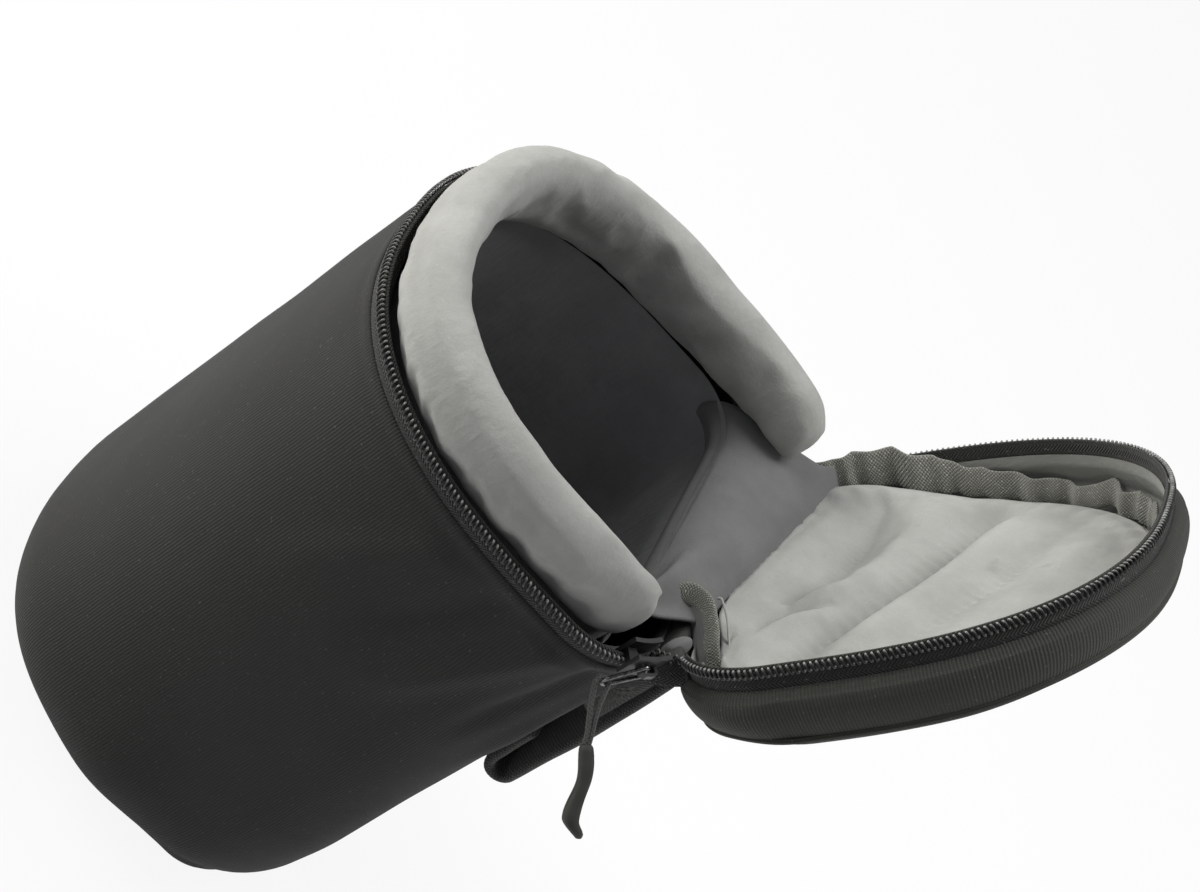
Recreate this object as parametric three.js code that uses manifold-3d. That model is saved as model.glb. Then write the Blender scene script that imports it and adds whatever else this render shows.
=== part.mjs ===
// Padded lens pouch with a zipped lid that hinges on the flat back of the mouth.
// Millimetres, +Z up. The origin is at the centre of the base, the flat back faces +Y.
// The lid is built shut on the mouth and turned open about its hinge line.
import * as THREE from 'three';
import { mergeVertices } from 'three/addons/utils/BufferGeometryUtils.js';
import Module from 'manifold-3d';

const wasm = await Module();
wasm.setup();

// Plan of the mouth: a superellipse front, straight sides, round back corners, flat back.
const half_width = 65;
const front_reach = 78;
const front_power = 2.45;
const side_straight = 11;
const corner_radius = 27;

// Body
const zip_height = 168;
const base_round_height = 27;
const base_round_inset = 17;
const base_taper = 1;
const shell_wall = 1.2;
const wall_foam_wall = 8;
const lining_wall = 1;
const base_panel_wall = 1.6;
const base_foam_wall = 6;
const fit_gap = 0.3;

// Zip: tape, coil and the gap that the slider's post runs in
const tape_height = 6.6;
const tape_wall = 0.8;
const tape_inset = 0.6;
const coil_wall = 1.5;
const coil_height = 2.6;
const tooth_height = 1.5;
const tooth_pitch = 2.4;
const coil_gap = 2;
const zip_end_angle = 62;

// Padded collar inside the mouth
const collar_wall = 11;
const collar_inset = 5;
const collar_rise = 19.5;
const collar_end_angle = 56;
const collar_end_length = 16;
const collar_pucker = 0.35;

// Lid
const lid_rise = 27.5;
const lid_bulge = 2.5;
const lid_edge_radius = 18;
const lid_seam_angle = 40;
const lid_cloth = 1;
const lid_side_lining_wall = 0.8;
const lid_foam_wall = 3;
const lid_pad_wall = 3;
const lid_pad_inset = 8;
const lid_pad_crown = 8;
const lid_pad_crease = 1.4;
const binding_height = 6;
const binding_wall = 2.2;
const binding_drop = 14;
const binding_end_angle = 58;

// Lid hinge
const lid_open_angle = 115;
const hinge_drop = 4;
const hinge_skew = 7;
const hinge_lining_angle = 66;
const hinge_strip_wall = 1;
const hinge_strip_start = 24;
const hinge_strip_width = 52;
const hinge_strip_offset = -11;

// Slider, wire and pull
const slider_angle = 50;
const slider_length = 11;
const slider_half_height = 4;
const plate_wall = 1.2;
const post_length = 3.2;
const channel_gap = 0.5;
const arch_span = 4;
const arch_foot = 1;
const arch_height = 1.7;
const arch_wall = 0.9;
const arch_width = 1.6;
const wire_radius = 0.5;
const wire_length = 11.5;
const wire_half_width = 3.2;
const wire_tip_radius = 2.3;
const wire_lean = 35;
const cord_radius = 0.65;
const cord_gap = 0.45;
const cord_length = 9.5;
const grip_length = 21.5;
const grip_width = 4.4;
const grip_thickness = 3.4;
const grip_sway = 1.2;

// Back tab
const tab_width = 44;
const tab_wall = 3;
const tab_top = 141.5;
const tab_low = 78.5;
const tab_standoff = 15;
const tab_sway = 0.8;
const tab_fold_height = 17;
const tab_fold_depth = 7;
const tab_patch_wall = 1.2;
const tab_patch_height = 62;
const anchor_height = 22;
const hook_patch_wall = 1;
const hook_patch_height = 9;

// Counts of facets, stations and levels
const ring_stations = 48;
const zip_stations = 84;
const collar_stations = 44;
const panel_stations = 18;
const outline_steps = 24;
const arc_steps = 6;
const tube_sides = 8;
const cord_steps = 4;
const grip_sides = 10;
const crease_count = 3;

const rad = THREE.MathUtils.degToRad;
const back = side_straight + corner_radius;
const corner_x = half_width - corner_radius;
const parting_share = 2 / 3;
const parting = zip_height + fit_gap * parting_share;
const rim = zip_height + fit_gap;

// Colours
const colours = {
  nylon: { color: 0x2b2b2a, roughness: 0.85, metalness: 0 },
  nylon_light: { color: 0x3d3e3b, roughness: 0.85, metalness: 0 },
  lining: { color: 0x9a9d96, roughness: 0.95, metalness: 0 },
  foam: { color: 0x55565a, roughness: 1, metalness: 0 },
  tape: { color: 0x161616, roughness: 0.9, metalness: 0 },
  coil: { color: 0x4a4a48, roughness: 0.5, metalness: 0 },
  binding: { color: 0x6a6661, roughness: 0.95, metalness: 0 },
  metal: { color: 0x8a8a86, roughness: 0.3, metalness: 1 },
  dark_metal: { color: 0x1b1b1b, roughness: 0.4, metalness: 0.6 },
  rubber: { color: 0x3a3a37, roughness: 0.7, metalness: 0 },
};

const part = new THREE.Group();

function addPiece(name, geometry, finish, parent = part) {
  const mesh = new THREE.Mesh(geometry, new THREE.MeshStandardMaterial(colours[finish]));
  mesh.name = name;
  parent.add(mesh);
  return mesh;
}

// Outline of the mouth from the back's centre by the +X side to the front and round again.
function outlineTable() {
  const half = [];
  for (let i = 0; i <= outline_steps; i++) {
    half.push({ x: corner_x * (i / outline_steps), y: back, nx: 0, ny: 1 });
  }
  for (let i = 1; i <= outline_steps; i++) {
    const a = rad(90 * (1 - i / outline_steps));
    const nx = Math.cos(a);
    const ny = Math.sin(a);
    half.push({ x: corner_x + corner_radius * nx, y: side_straight + corner_radius * ny, nx, ny });
  }
  half.push({ x: half_width, y: 0, nx: 1, ny: 0 });
  for (let i = 1; i <= 2 * outline_steps; i++) {
    const t = rad(90 * (1 - i / (2 * outline_steps)));
    const c = Math.cos(t);
    const s = Math.sin(t);
    const x = half_width * Math.pow(Math.max(s, 0), 2 / front_power);
    const y = -front_reach * Math.pow(Math.max(c, 0), 2 / front_power);
    const gx = Math.pow(x / half_width, front_power - 1) / half_width;
    const gy = -Math.pow(-y / front_reach, front_power - 1) / front_reach;
    const g = Math.hypot(gx, gy);
    half.push({ x, y, nx: gx / g, ny: gy / g });
  }
  const other = half.slice(1, -1).reverse().map((p) => ({ x: -p.x, y: p.y, nx: -p.nx, ny: p.ny }));
  const table = half.concat(other);
  table.push({ ...table[0] });
  let run = 0;
  table.forEach((p, i) => {
    if (i > 0) run += Math.hypot(p.x - table[i - 1].x, p.y - table[i - 1].y);
    p.run = run;
  });
  return table;
}

const outline = outlineTable();
const outline_length = outline[outline.length - 1].run;

// Place and outward normal at a run along the outline, moved in by an inset.
function outlineAt(run, inset = 0) {
  const wrapped = ((run % outline_length) + outline_length) % outline_length;
  let i = 1;
  while (i < outline.length - 1 && outline[i].run < wrapped) i++;
  const a = outline[i - 1];
  const b = outline[i];
  const k = (wrapped - a.run) / (b.run - a.run);
  const nx = a.nx + (b.nx - a.nx) * k;
  const ny = a.ny + (b.ny - a.ny) * k;
  const n = Math.hypot(nx, ny);
  const x = a.x + (b.x - a.x) * k - (nx / n) * inset;
  const y = a.y + (b.y - a.y) * k - (ny / n) * inset;
  return { x, y, nx: nx / n, ny: ny / n };
}

// Run along the outline at which a back corner stands at an angle from +X.
function runAtAngle(angle) {
  return corner_x + corner_radius * rad(90 - angle);
}

function ringAt(inset, z, stations = ring_stations) {
  const ring = [];
  for (let i = 0; i < stations; i++) {
    const p = outlineAt((outline_length * i) / stations, inset);
    ring.push(new THREE.Vector3(p.x, p.y, z));
  }
  return ring;
}

// Skin over rings of equal count: a closed loop of rings, or a run of rings with two flat ends.
function skin(rings, looped = false) {
  const n = rings[0].length;
  const vertices = rings.flat();
  const faces = [];
  const last = looped ? rings.length : rings.length - 1;
  for (let r = 0; r < last; r++) {
    const a = r * n;
    const b = ((r + 1) % rings.length) * n;
    for (let i = 0; i < n; i++) {
      const j = (i + 1) % n;
      faces.push([a + i, a + j, b + j], [a + i, b + j, b + i]);
    }
  }
  if (!looped) {
    for (const [first, turn] of [[0, true], [(rings.length - 1) * n, false]]) {
      const centre = new THREE.Vector3();
      for (let i = 0; i < n; i++) centre.add(vertices[first + i]);
      const hub = vertices.push(centre.divideScalar(n)) - 1;
      for (let i = 0; i < n; i++) {
        const j = (i + 1) % n;
        faces.push(turn ? [hub, first + j, first + i] : [hub, first + i, first + j]);
      }
    }
  }
  let volume = 0;
  for (const [a, b, c] of faces) {
    volume += vertices[a].dot(vertices[b].clone().cross(vertices[c]));
  }
  const index = volume > 0 ? faces.flat() : faces.map(([a, b, c]) => [a, c, b]).flat();
  const geometry = new THREE.BufferGeometry();
  const places = vertices.flatMap((v) => [v.x, v.y, v.z]);
  geometry.setAttribute('position', new THREE.Float32BufferAttribute(places, 3));
  geometry.setIndex(index);
  geometry.computeVertexNormals();
  return geometry;
}

// A piece all round the plan, from its outer profile up and its inner profile down.
function sleeve(profile) {
  return skin(profile.map(([inset, z]) => ringAt(inset, z)), true);
}

// A piece that fills the plan, from the middle of one face to the middle of the other.
function plate(profile) {
  return skin(profile.map(([inset, z]) => ringAt(inset, z)));
}

// A piece that runs along the outline between two runs, with a section of insets and heights.
function runAlong(from, to, stations, sectionAt) {
  const rings = [];
  for (let i = 0; i <= stations; i++) {
    const share = i / stations;
    const run = from + (to - from) * share;
    rings.push(sectionAt(share, run).map(([inset, z]) => {
      const p = outlineAt(run, inset);
      return new THREE.Vector3(p.x, p.y, z);
    }));
  }
  return skin(rings);
}

function solidOf(geometry) {
  const bare = geometry.clone();
  bare.deleteAttribute('normal');
  bare.deleteAttribute('uv');
  const merged = mergeVertices(bare);
  return new wasm.Manifold(new wasm.Mesh({
    numProp: 3,
    vertProperties: new Float32Array(merged.attributes.position.array),
    triVerts: new Uint32Array(merged.index.array),
  }));
}

function geometryOf(solid) {
  const mesh = solid.getMesh();
  const geometry = new THREE.BufferGeometry();
  geometry.setAttribute('position', new THREE.Float32BufferAttribute(mesh.vertProperties, 3));
  geometry.setIndex(new THREE.Uint32BufferAttribute(mesh.triVerts, 1));
  geometry.computeVertexNormals();
  return geometry;
}

function joined(geometries) {
  return geometryOf(geometries.map(solidOf).reduce((a, b) => a.add(b)));
}

// Body profile: inset of the outer face at a height, with the elliptic round at the base.
function bodyInset(z) {
  if (z >= base_round_height) {
    return base_taper * (1 - (z - base_round_height) / (zip_height - base_round_height));
  }
  const drop = (base_round_height - z) / base_round_height;
  return base_taper + base_round_inset * (1 - Math.sqrt(Math.max(0, 1 - drop * drop)));
}

const shell_top = zip_height - tape_height - fit_gap;
const base_levels_share = [0, 0.06, 0.2, 0.42, 0.7, 1];
const base_panel_inset = base_taper + base_round_inset + fit_gap;

// Nylon shell: the wall and the round at the base, open at both ends
function outerShell() {
  const outer = base_levels_share.map((s) => [bodyInset(s * base_round_height), s * base_round_height]);
  outer.push([bodyInset(shell_top), shell_top]);
  const shrink = (base_round_inset - shell_wall) / base_round_inset;
  const inner = base_levels_share.map((s) => {
    const z = shell_wall + s * (base_round_height - shell_wall);
    const round = bodyInset(s * base_round_height) - base_taper;
    return [base_taper + shell_wall + round * shrink, z];
  });
  inner.push([bodyInset(shell_top) + shell_wall, shell_top]);
  return sleeve(outer.concat(inner.reverse()));
}
addPiece('outer_shell', outerShell(), 'nylon');

// Flat panel that the pouch stands on, inside the shell's lower edge
addPiece('base_panel', plate([
  [base_panel_inset, 0],
  [base_panel_inset, base_panel_wall],
]), 'nylon');

// Foam in the wall and under the floor
const foam_outer = shell_wall + fit_gap;
const foam_low = base_round_height;
const foam_top = shell_top - fit_gap;
const foam_inner = foam_outer + base_taper + wall_foam_wall;
addPiece('wall_foam', sleeve([
  [foam_outer + base_taper, foam_low],
  [foam_outer + bodyInset(foam_top), foam_top],
  [foam_inner, foam_top],
  [foam_inner, foam_low],
]), 'foam');

const base_foam_low = base_panel_wall + fit_gap;
addPiece('base_foam', plate([
  [base_panel_inset, base_foam_low],
  [foam_inner, base_foam_low + base_foam_wall],
]), 'foam');

// Lining of the wall, the floor and the top of the back wall
const lining_outer = foam_inner + fit_gap;
const lining_inner = lining_outer + lining_wall;
const floor_low = base_foam_low + base_foam_wall + fit_gap;
addPiece('floor_lining', plate([
  [lining_outer, floor_low],
  [lining_outer, floor_low + lining_wall],
]), 'lining');

const lining_low = floor_low + lining_wall + fit_gap;
addPiece('body_lining', sleeve([
  [lining_outer, lining_low],
  [lining_outer, foam_top],
  [lining_inner, foam_top],
  [lining_inner, lining_low],
]), 'lining');

const cap_low = foam_top + fit_gap;
const lining_span = runAtAngle(hinge_lining_angle);
addPiece('hinge_lining', runAlong(-lining_span, lining_span, panel_stations, () => [
  [foam_outer, cap_low],
  [foam_outer, cap_low + tape_height - coil_gap],
  [foam_outer + wall_foam_wall / 2, cap_low + tape_height - coil_gap],
  [lining_inner, cap_low + lining_wall],
  [lining_inner, cap_low],
]), 'lining');

// Outer panel across the back, between the two ends of the zip
const zip_start = runAtAngle(zip_end_angle);
const panel_span = zip_start - fit_gap;
const panel_low = shell_top + fit_gap;
addPiece('hinge_panel', runAlong(-panel_span, panel_span, panel_stations, () => [
  [0, panel_low],
  [0, zip_height - fit_gap],
  [shell_wall, zip_height - fit_gap],
  [shell_wall, panel_low],
]), 'nylon');

// Zip tapes and coils: one of each on the body and on the lid
const zip_finish = outline_length - zip_start;
const half_gap = coil_gap / 2;

function zipTape(edge, far) {
  return runAlong(zip_start, zip_finish, zip_stations, () => [
    [tape_inset, edge],
    [tape_inset, far],
    [tape_inset + tape_wall, far],
    [tape_inset + tape_wall, edge],
  ]);
}

// A coil is a bead along the tape's edge with a row of teeth that point at the other coil.
function zipCoil(edge, way) {
  const inner = tape_inset - fit_gap;
  const outer = inner - coil_wall;
  const count = Math.round((zip_finish - zip_start) / tooth_pitch);
  const step_share = [0, 0.28, 0.68];
  const rings = [];
  for (let i = 0; i <= count; i++) {
    const steps = i < count ? step_share : [0];
    steps.forEach((s, k) => {
      const run = zip_start + ((zip_finish - zip_start) * (i + s)) / count;
      const tip = edge - way * (k === 0 ? tooth_height : 0);
      const foot = edge - way * coil_height;
      rings.push([[outer, foot], [outer, tip], [inner, tip], [inner, foot]].map(([inset, z]) => {
        const p = outlineAt(run, inset);
        return new THREE.Vector3(p.x, p.y, z);
      }));
    });
  }
  return skin(rings);
}

addPiece('body_zip_tape', zipTape(parting - half_gap, panel_low), 'tape');
addPiece('body_zip_coil', zipCoil(parting - half_gap, 1), 'coil');

// Padded collar: a stuffed roll that stands in the mouth and rounds off at its two ends
const collar_low = foam_top + fit_gap;
const collar_height = zip_height + collar_rise - collar_low;
const collar_side_share = [-0.72, -0.96, -1, -0.82, -0.36, 0.36, 0.82, 1, 0.96, 0.72];
const collar_up_share = [0, 0.22, 0.62, 0.88, 1, 1, 0.88, 0.62, 0.22, 0];
const collar_end_height_share = 0.55;
const collar_end_wall_share = 0.45;
const collar_puckers = 11;

function paddedCollar() {
  const from = runAtAngle(collar_end_angle);
  const to = outline_length - from;
  return runAlong(from, to, collar_stations, (share) => {
    const from_end = Math.min(share, 1 - share) * (to - from);
    const left_over = 1 - Math.min(1, from_end / collar_end_length);
    const ease = Math.sqrt(1 - left_over * left_over);
    const high = collar_end_height_share + (1 - collar_end_height_share) * ease;
    const wide = collar_end_wall_share + (1 - collar_end_wall_share) * ease;
    const pucker = collar_pucker * Math.cos(2 * Math.PI * collar_puckers * share);
    const middle = collar_inset + collar_wall / 2;
    return collar_side_share.map((side, i) => {
      const up = collar_up_share[i];
      const reach = ((collar_wall / 2) * wide - collar_pucker + pucker * up) * side;
      return [middle + reach, collar_low + collar_height * up * high];
    });
  });
}
addPiece('padded_collar', paddedCollar(), 'lining');

// Lid, in its shut place, inside groups that turn it open about the hinge line
const hinge_point = new THREE.Vector3(0, back, zip_height - hinge_drop);
const hinge_axis = new THREE.Vector3(1, 0, Math.tan(rad(hinge_skew))).normalize();
const lid_turn = new THREE.Group();
lid_turn.position.copy(hinge_point);
lid_turn.quaternion.setFromAxisAngle(hinge_axis, -rad(lid_open_angle));
part.add(lid_turn);
const lid = new THREE.Group();
lid.position.copy(hinge_point).negate();
lid_turn.add(lid);

// Outer face of the lid by the turn of its round edge, moved in by a wall
const edge_centre_z = rim + lid_rise - lid_edge_radius;
function lidEdge(angle, wall) {
  const r = lid_edge_radius - wall;
  const inset = lid_edge_radius - lid_bulge - r * Math.cos(rad(angle));
  return [inset, edge_centre_z + r * Math.sin(rad(angle))];
}

const lid_wall_low = parting + half_gap + tape_height - fit_gap;
const gusset_angles = [0, 20, lid_seam_angle];
addPiece('lid_gusset', sleeve([
  [0, lid_wall_low],
  ...gusset_angles.map((a) => lidEdge(a, 0)),
  ...gusset_angles.slice().reverse().map((a) => lidEdge(a, lid_cloth)),
  [lid_cloth, lid_wall_low],
]), 'nylon_light', lid);

const seam_gap_angle = (fit_gap / lid_edge_radius) * (180 / Math.PI);
const dome_angles = [lid_seam_angle + seam_gap_angle, 55, 72, 90];
addPiece('lid_top_panel', plate([
  ...dome_angles.slice().reverse().map((a) => lidEdge(a, 0)),
  ...dome_angles.map((a) => lidEdge(a, lid_cloth)),
]), 'nylon_light', lid);

// Foam under the top panel, kept inside the round edge
const lid_foam_high = rim + lid_rise - lid_cloth - fit_gap;
const lid_foam_low = lid_foam_high - lid_foam_wall;
function edgeInsetAt(z, wall) {
  const r = lid_edge_radius - wall;
  const up = z - edge_centre_z;
  return lid_edge_radius - lid_bulge - Math.sqrt(Math.max(0, r * r - up * up));
}
const foam_wall = lid_cloth + fit_gap;
addPiece('lid_foam', plate([
  [edgeInsetAt(lid_foam_high, foam_wall) + fit_gap, lid_foam_high],
  [edgeInsetAt(lid_foam_low, foam_wall) + fit_gap, lid_foam_low],
]), 'foam', lid);

// Side lining behind the gusset
const side_angles = [0, 20, 36, 48];
const side_lining_face = foam_wall + lid_side_lining_wall;
addPiece('lid_side_lining', sleeve([
  [foam_wall, lid_wall_low],
  ...side_angles.map((a) => lidEdge(a, foam_wall)),
  ...side_angles.slice().reverse().map((a) => lidEdge(a, side_lining_face)),
  [side_lining_face, lid_wall_low],
]), 'lining', lid);

// Crowned pad that faces the mouth, with creases across it
const pad_high = lid_foam_low - fit_gap;
const pad_ring_share = [0, 0.2, 0.32, 0.44, 0.56, 0.68, 0.84];
const crown_start_share = 0.2;
const crown_end_share = 0.6;
const crease_power = 2;
function lidPad() {
  const depth = back + front_reach - 2 * lid_pad_inset;
  const centre_y = (back - front_reach) / 2;
  const rings = [ringAt(lid_pad_inset + fit_gap, pad_high)];
  for (const s of pad_ring_share) {
    const edge = ringAt(lid_pad_inset, 0);
    const climb = THREE.MathUtils.smoothstep(s, crown_start_share, crown_end_share);
    const crown = Math.sin((Math.PI / 2) * climb);
    rings.push(edge.map((p) => {
      const x = p.x * (1 - s);
      const y = centre_y + (p.y - centre_y) * (1 - s);
      const across = (x / half_width + (y - centre_y) / depth) * crease_count;
      const crease = Math.pow(Math.cos(Math.PI * across), crease_power) * Math.sin(Math.PI * s);
      const height = pad_high - lid_pad_wall - lid_pad_crown * crown + lid_pad_crease * crease;
      return new THREE.Vector3(x, y, height);
    }));
  }
  return skin(rings);
}
addPiece('lid_pad', lidPad(), 'lining', lid);

// Binding along the seam between side lining and pad, which drops to the rim at the hinge ends
const binding_edge_share = 0.2;
function bindingInset(z) {
  const face = edgeInsetAt(Math.max(z, edge_centre_z), side_lining_face) + fit_gap;
  return Math.max(side_lining_face, face) + fit_gap;
}

function lidBinding() {
  const from = runAtAngle(binding_end_angle);
  const to = outline_length - from;
  const top = pad_high - lid_pad_wall - fit_gap;
  return runAlong(from, to, ring_stations, (share) => {
    const from_end = Math.min(share, 1 - share) * (to - from);
    const ease = THREE.MathUtils.smoothstep(from_end, 0, binding_drop);
    const low = top - binding_height - (1 - ease) * (top - binding_height - lid_wall_low - fit_gap);
    const below = bindingInset(low);
    const above = bindingInset(low + binding_height);
    const edge_low = low + binding_height * binding_edge_share;
    const edge_high = low + binding_height * (1 - binding_edge_share);
    return [
      [below, edge_low],
      [above, edge_high],
      [above + binding_wall / 2, low + binding_height],
      [above + binding_wall, edge_high],
      [below + binding_wall, edge_low],
      [below + binding_wall / 2, low],
    ];
  });
}
addPiece('lid_binding', lidBinding(), 'binding', lid);

addPiece('lid_zip_tape', zipTape(parting + half_gap, lid_wall_low - fit_gap), 'tape', lid);
addPiece('lid_zip_coil', zipCoil(parting + half_gap, -1), 'coil', lid);
addPiece('lid_hinge_panel', runAlong(-panel_span, panel_span, panel_stations, () => [
  [0, rim + fit_gap / 2],
  [0, lid_wall_low - fit_gap],
  [shell_wall, lid_wall_low - fit_gap],
  [shell_wall, rim + fit_gap / 2],
]), 'nylon_light', lid);

// Cloth strip that bridges the gap which the lid's skewed turn opens behind the back edge
function hingeStrip() {
  const rings = [];
  const sweep = lid_open_angle - hinge_strip_start;
  for (let i = 0; i <= arc_steps; i++) {
    const x = hinge_strip_offset + hinge_strip_width * (i / arc_steps - 1 / 2);
    const lift = x * Math.tan(rad(hinge_skew));
    const outer = hinge_drop - lift;
    const ring = [];
    for (let k = 0; k <= 2 * arc_steps + 1; k++) {
      const inward = k > arc_steps;
      const step = inward ? 2 * arc_steps + 1 - k : k;
      const angle = rad(hinge_strip_start + (sweep * step) / arc_steps);
      const r = inward ? outer - hinge_strip_wall : outer;
      const z = hinge_point.z + lift + r * Math.cos(angle);
      ring.push(new THREE.Vector3(x, back + r * Math.sin(angle), z));
    }
    rings.push(ring);
  }
  return skin(rings);
}
addPiece('hinge_strip', hingeStrip(), 'nylon');

// Slider: two curved plates, the post between the coils and the arch that holds the wire
const slider = new THREE.Group();
slider.position.set(corner_x, side_straight, parting);
slider.rotation.z = rad(slider_angle);
part.add(slider);

const plate_in_outer = corner_radius - tape_inset - tape_wall - channel_gap;
const plate_out_inner = corner_radius - tape_inset + fit_gap + coil_wall + channel_gap;
const plate_out_outer = plate_out_inner + plate_wall;

function arcPlate(inner, outer, half_angle, height) {
  const shape = new THREE.Shape();
  shape.absarc(0, 0, outer, -half_angle, half_angle, false);
  shape.absarc(0, 0, inner, half_angle, -half_angle, true);
  const settings = { depth: height, bevelEnabled: false, curveSegments: arc_steps };
  return new THREE.ExtrudeGeometry(shape, settings).translate(0, 0, -height / 2);
}

function sliderBody() {
  const half_angle = slider_length / 2 / corner_radius;
  const post_half_angle = post_length / 2 / corner_radius;
  const post_height = coil_gap - 2 * fit_gap;
  const post = arcPlate(plate_in_outer - fit_gap, plate_out_inner + fit_gap, post_half_angle, post_height);
  post.rotateZ(-(half_angle - post_half_angle - fit_gap / corner_radius));
  const half_span = arch_span / 2;
  const foot = half_span + arch_foot;
  const low = plate_out_outer - plate_wall / 2;
  const roof = plate_out_outer + arch_height;
  const arch = new THREE.Shape([
    new THREE.Vector2(low, -foot),
    new THREE.Vector2(roof, -foot),
    new THREE.Vector2(roof + arch_wall, -half_span + arch_wall / 2),
    new THREE.Vector2(roof + arch_wall, half_span - arch_wall / 2),
    new THREE.Vector2(roof, foot),
    new THREE.Vector2(low, foot),
    new THREE.Vector2(low, half_span),
    new THREE.Vector2(roof - arch_wall / 2, half_span),
    new THREE.Vector2(roof, half_span - arch_wall / 2),
    new THREE.Vector2(roof, -half_span + arch_wall / 2),
    new THREE.Vector2(roof - arch_wall / 2, -half_span),
    new THREE.Vector2(low, -half_span),
  ]);
  const arch_geometry = new THREE.ExtrudeGeometry(arch, { depth: arch_width, bevelEnabled: false });
  arch_geometry.translate(0, 0, -arch_width / 2);
  return joined([
    arcPlate(plate_out_inner, plate_out_outer, half_angle, 2 * slider_half_height),
    arcPlate(plate_in_outer - plate_wall, plate_in_outer, half_angle, 2 * slider_half_height),
    post,
    arch_geometry,
  ]);
}
addPiece('slider_body', sliderBody(), 'dark_metal', slider);

// Round tube along a list of points; the ends are capped, or the path closes on itself.
const steep_share = 0.9;
function tubeAlong(points, radius, closed) {
  const count = points.length;
  const rings = [];
  let side = null;
  for (let i = 0; i < count; i++) {
    const before = points[closed ? (i + count - 1) % count : Math.max(i - 1, 0)];
    const after = points[closed ? (i + 1) % count : Math.min(i + 1, count - 1)];
    const along = after.clone().sub(before).normalize();
    if (side === null) {
      side = Math.abs(along.z) > steep_share ? new THREE.Vector3(1, 0, 0) : new THREE.Vector3(0, 0, 1);
    }
    side = side.clone().addScaledVector(along, -side.dot(along)).normalize();
    const other = along.clone().cross(side);
    const ring = [];
    for (let k = 0; k < tube_sides; k++) {
      const a = (2 * Math.PI * k) / tube_sides;
      const place = points[i].clone().addScaledVector(side, radius * Math.cos(a));
      ring.push(place.addScaledVector(other, radius * Math.sin(a)));
    }
    rings.push(ring);
  }
  return skin(rings, closed);
}

// Wire loop, flat over the slider, leaning down the wall towards the front
const wire_x = plate_out_outer + arch_height / 2;
const lean = rad(wire_lean);
const wire_way = new THREE.Vector3(0, -Math.cos(lean), -Math.sin(lean));
const wire_across = new THREE.Vector3(0, -Math.sin(lean), Math.cos(lean));
const wire_root = new THREE.Vector3(wire_x, 0, 0);

function wirePoint(along, across) {
  return wire_root.clone().addScaledVector(wire_way, along).addScaledVector(wire_across, across);
}

function pullWire() {
  const points = [];
  const bend = 2 * wire_radius;
  const tip = wire_length - wire_tip_radius;
  for (let i = 0; i <= arc_steps; i++) {
    const a = rad(90 * (i / arc_steps));
    points.push(wirePoint(bend * (1 - Math.cos(a)), wire_half_width - bend + bend * Math.sin(a)));
  }
  for (let i = 0; i <= 2 * arc_steps; i++) {
    const a = rad(90 * (i / arc_steps));
    points.push(wirePoint(tip + wire_tip_radius * Math.sin(a), wire_tip_radius * Math.cos(a)));
  }
  for (let i = 0; i <= arc_steps; i++) {
    const a = rad(90 * (1 - i / arc_steps));
    points.push(wirePoint(bend * (1 - Math.cos(a)), -(wire_half_width - bend + bend * Math.sin(a))));
  }
  return tubeAlong(points, wire_radius, true);
}
addPiece('pull_wire', pullWire(), 'metal', slider);

// Cord through the wire's tip and the moulded grip on its end. The pull hangs off the wall.
const cord_way = new THREE.Vector3(0.614, 0.466, -0.635).normalize();
const grip_way = new THREE.Vector3(0.574, 0.634, -0.518).normalize();
const up = new THREE.Vector3(0, 0, 1);
const to_slider = new THREE.Matrix4().makeRotationZ(-rad(slider_angle));
const cord_local = cord_way.clone().applyMatrix4(to_slider);
const grip_local = grip_way.clone().applyMatrix4(to_slider);
const cord_side = wire_across.clone().cross(cord_local).normalize();
const cord_square = cord_side.clone().cross(wire_across);
const tip_centre = wirePoint(wire_length, 0);

function cordPoint(along, around, across) {
  const place = tip_centre.clone().addScaledVector(cord_local, along);
  return place.addScaledVector(cord_square, around).addScaledVector(cord_side, across);
}

function pullCord() {
  const r = wire_radius + cord_gap + cord_radius;
  const points = [];
  for (let i = 0; i < cord_steps; i++) {
    points.push(cordPoint(cord_length * (1 - i / cord_steps), 0, r));
  }
  for (let i = 0; i <= 2 * arc_steps; i++) {
    const a = rad(90 * (i / arc_steps));
    points.push(cordPoint(0, -r * Math.sin(a), r * Math.cos(a)));
  }
  for (let i = 1; i <= cord_steps; i++) {
    points.push(cordPoint(cord_length * (i / cord_steps), 0, -r));
  }
  return tubeAlong(points, cord_radius, false);
}
addPiece('pull_cord', pullCord(), 'nylon', slider);

const grip_size_share = [0.86, 1, 1, 0.98, 0.97, 1, 1.08, 1.14, 1.1, 0.9, 0.5];
function pullGrip() {
  const start = tip_centre.clone().addScaledVector(cord_local, cord_length + fit_gap);
  const rings = [];
  const wide = wire_across.clone().addScaledVector(grip_local, -wire_across.dot(grip_local)).normalize();
  const thick = grip_local.clone().cross(wide);
  grip_size_share.forEach((size, i) => {
    const s = i / (grip_size_share.length - 1);
    const centre = start.clone().addScaledVector(grip_local, grip_length * s);
    centre.addScaledVector(thick, grip_sway * Math.sin(2 * Math.PI * s) * s);
    const ring = [];
    for (let k = 0; k < grip_sides; k++) {
      const a = (2 * Math.PI * k) / grip_sides;
      const place = centre.clone().addScaledVector(wide, (grip_width / 2) * size * Math.cos(a));
      ring.push(place.addScaledVector(thick, (grip_thickness / 2) * size * Math.sin(a)));
    }
    rings.push(ring);
  });
  return skin(rings);
}
addPiece('pull_grip', pullGrip(), 'rubber', slider);

// Back tab: patch on the wall, sewn block, hanging strap with a folded lower end
function acrossBack(points, width) {
  const ring = (x) => points.map(([y, z]) => new THREE.Vector3(x, y, z));
  return skin([ring(-width / 2), ring(width / 2)]);
}

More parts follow.
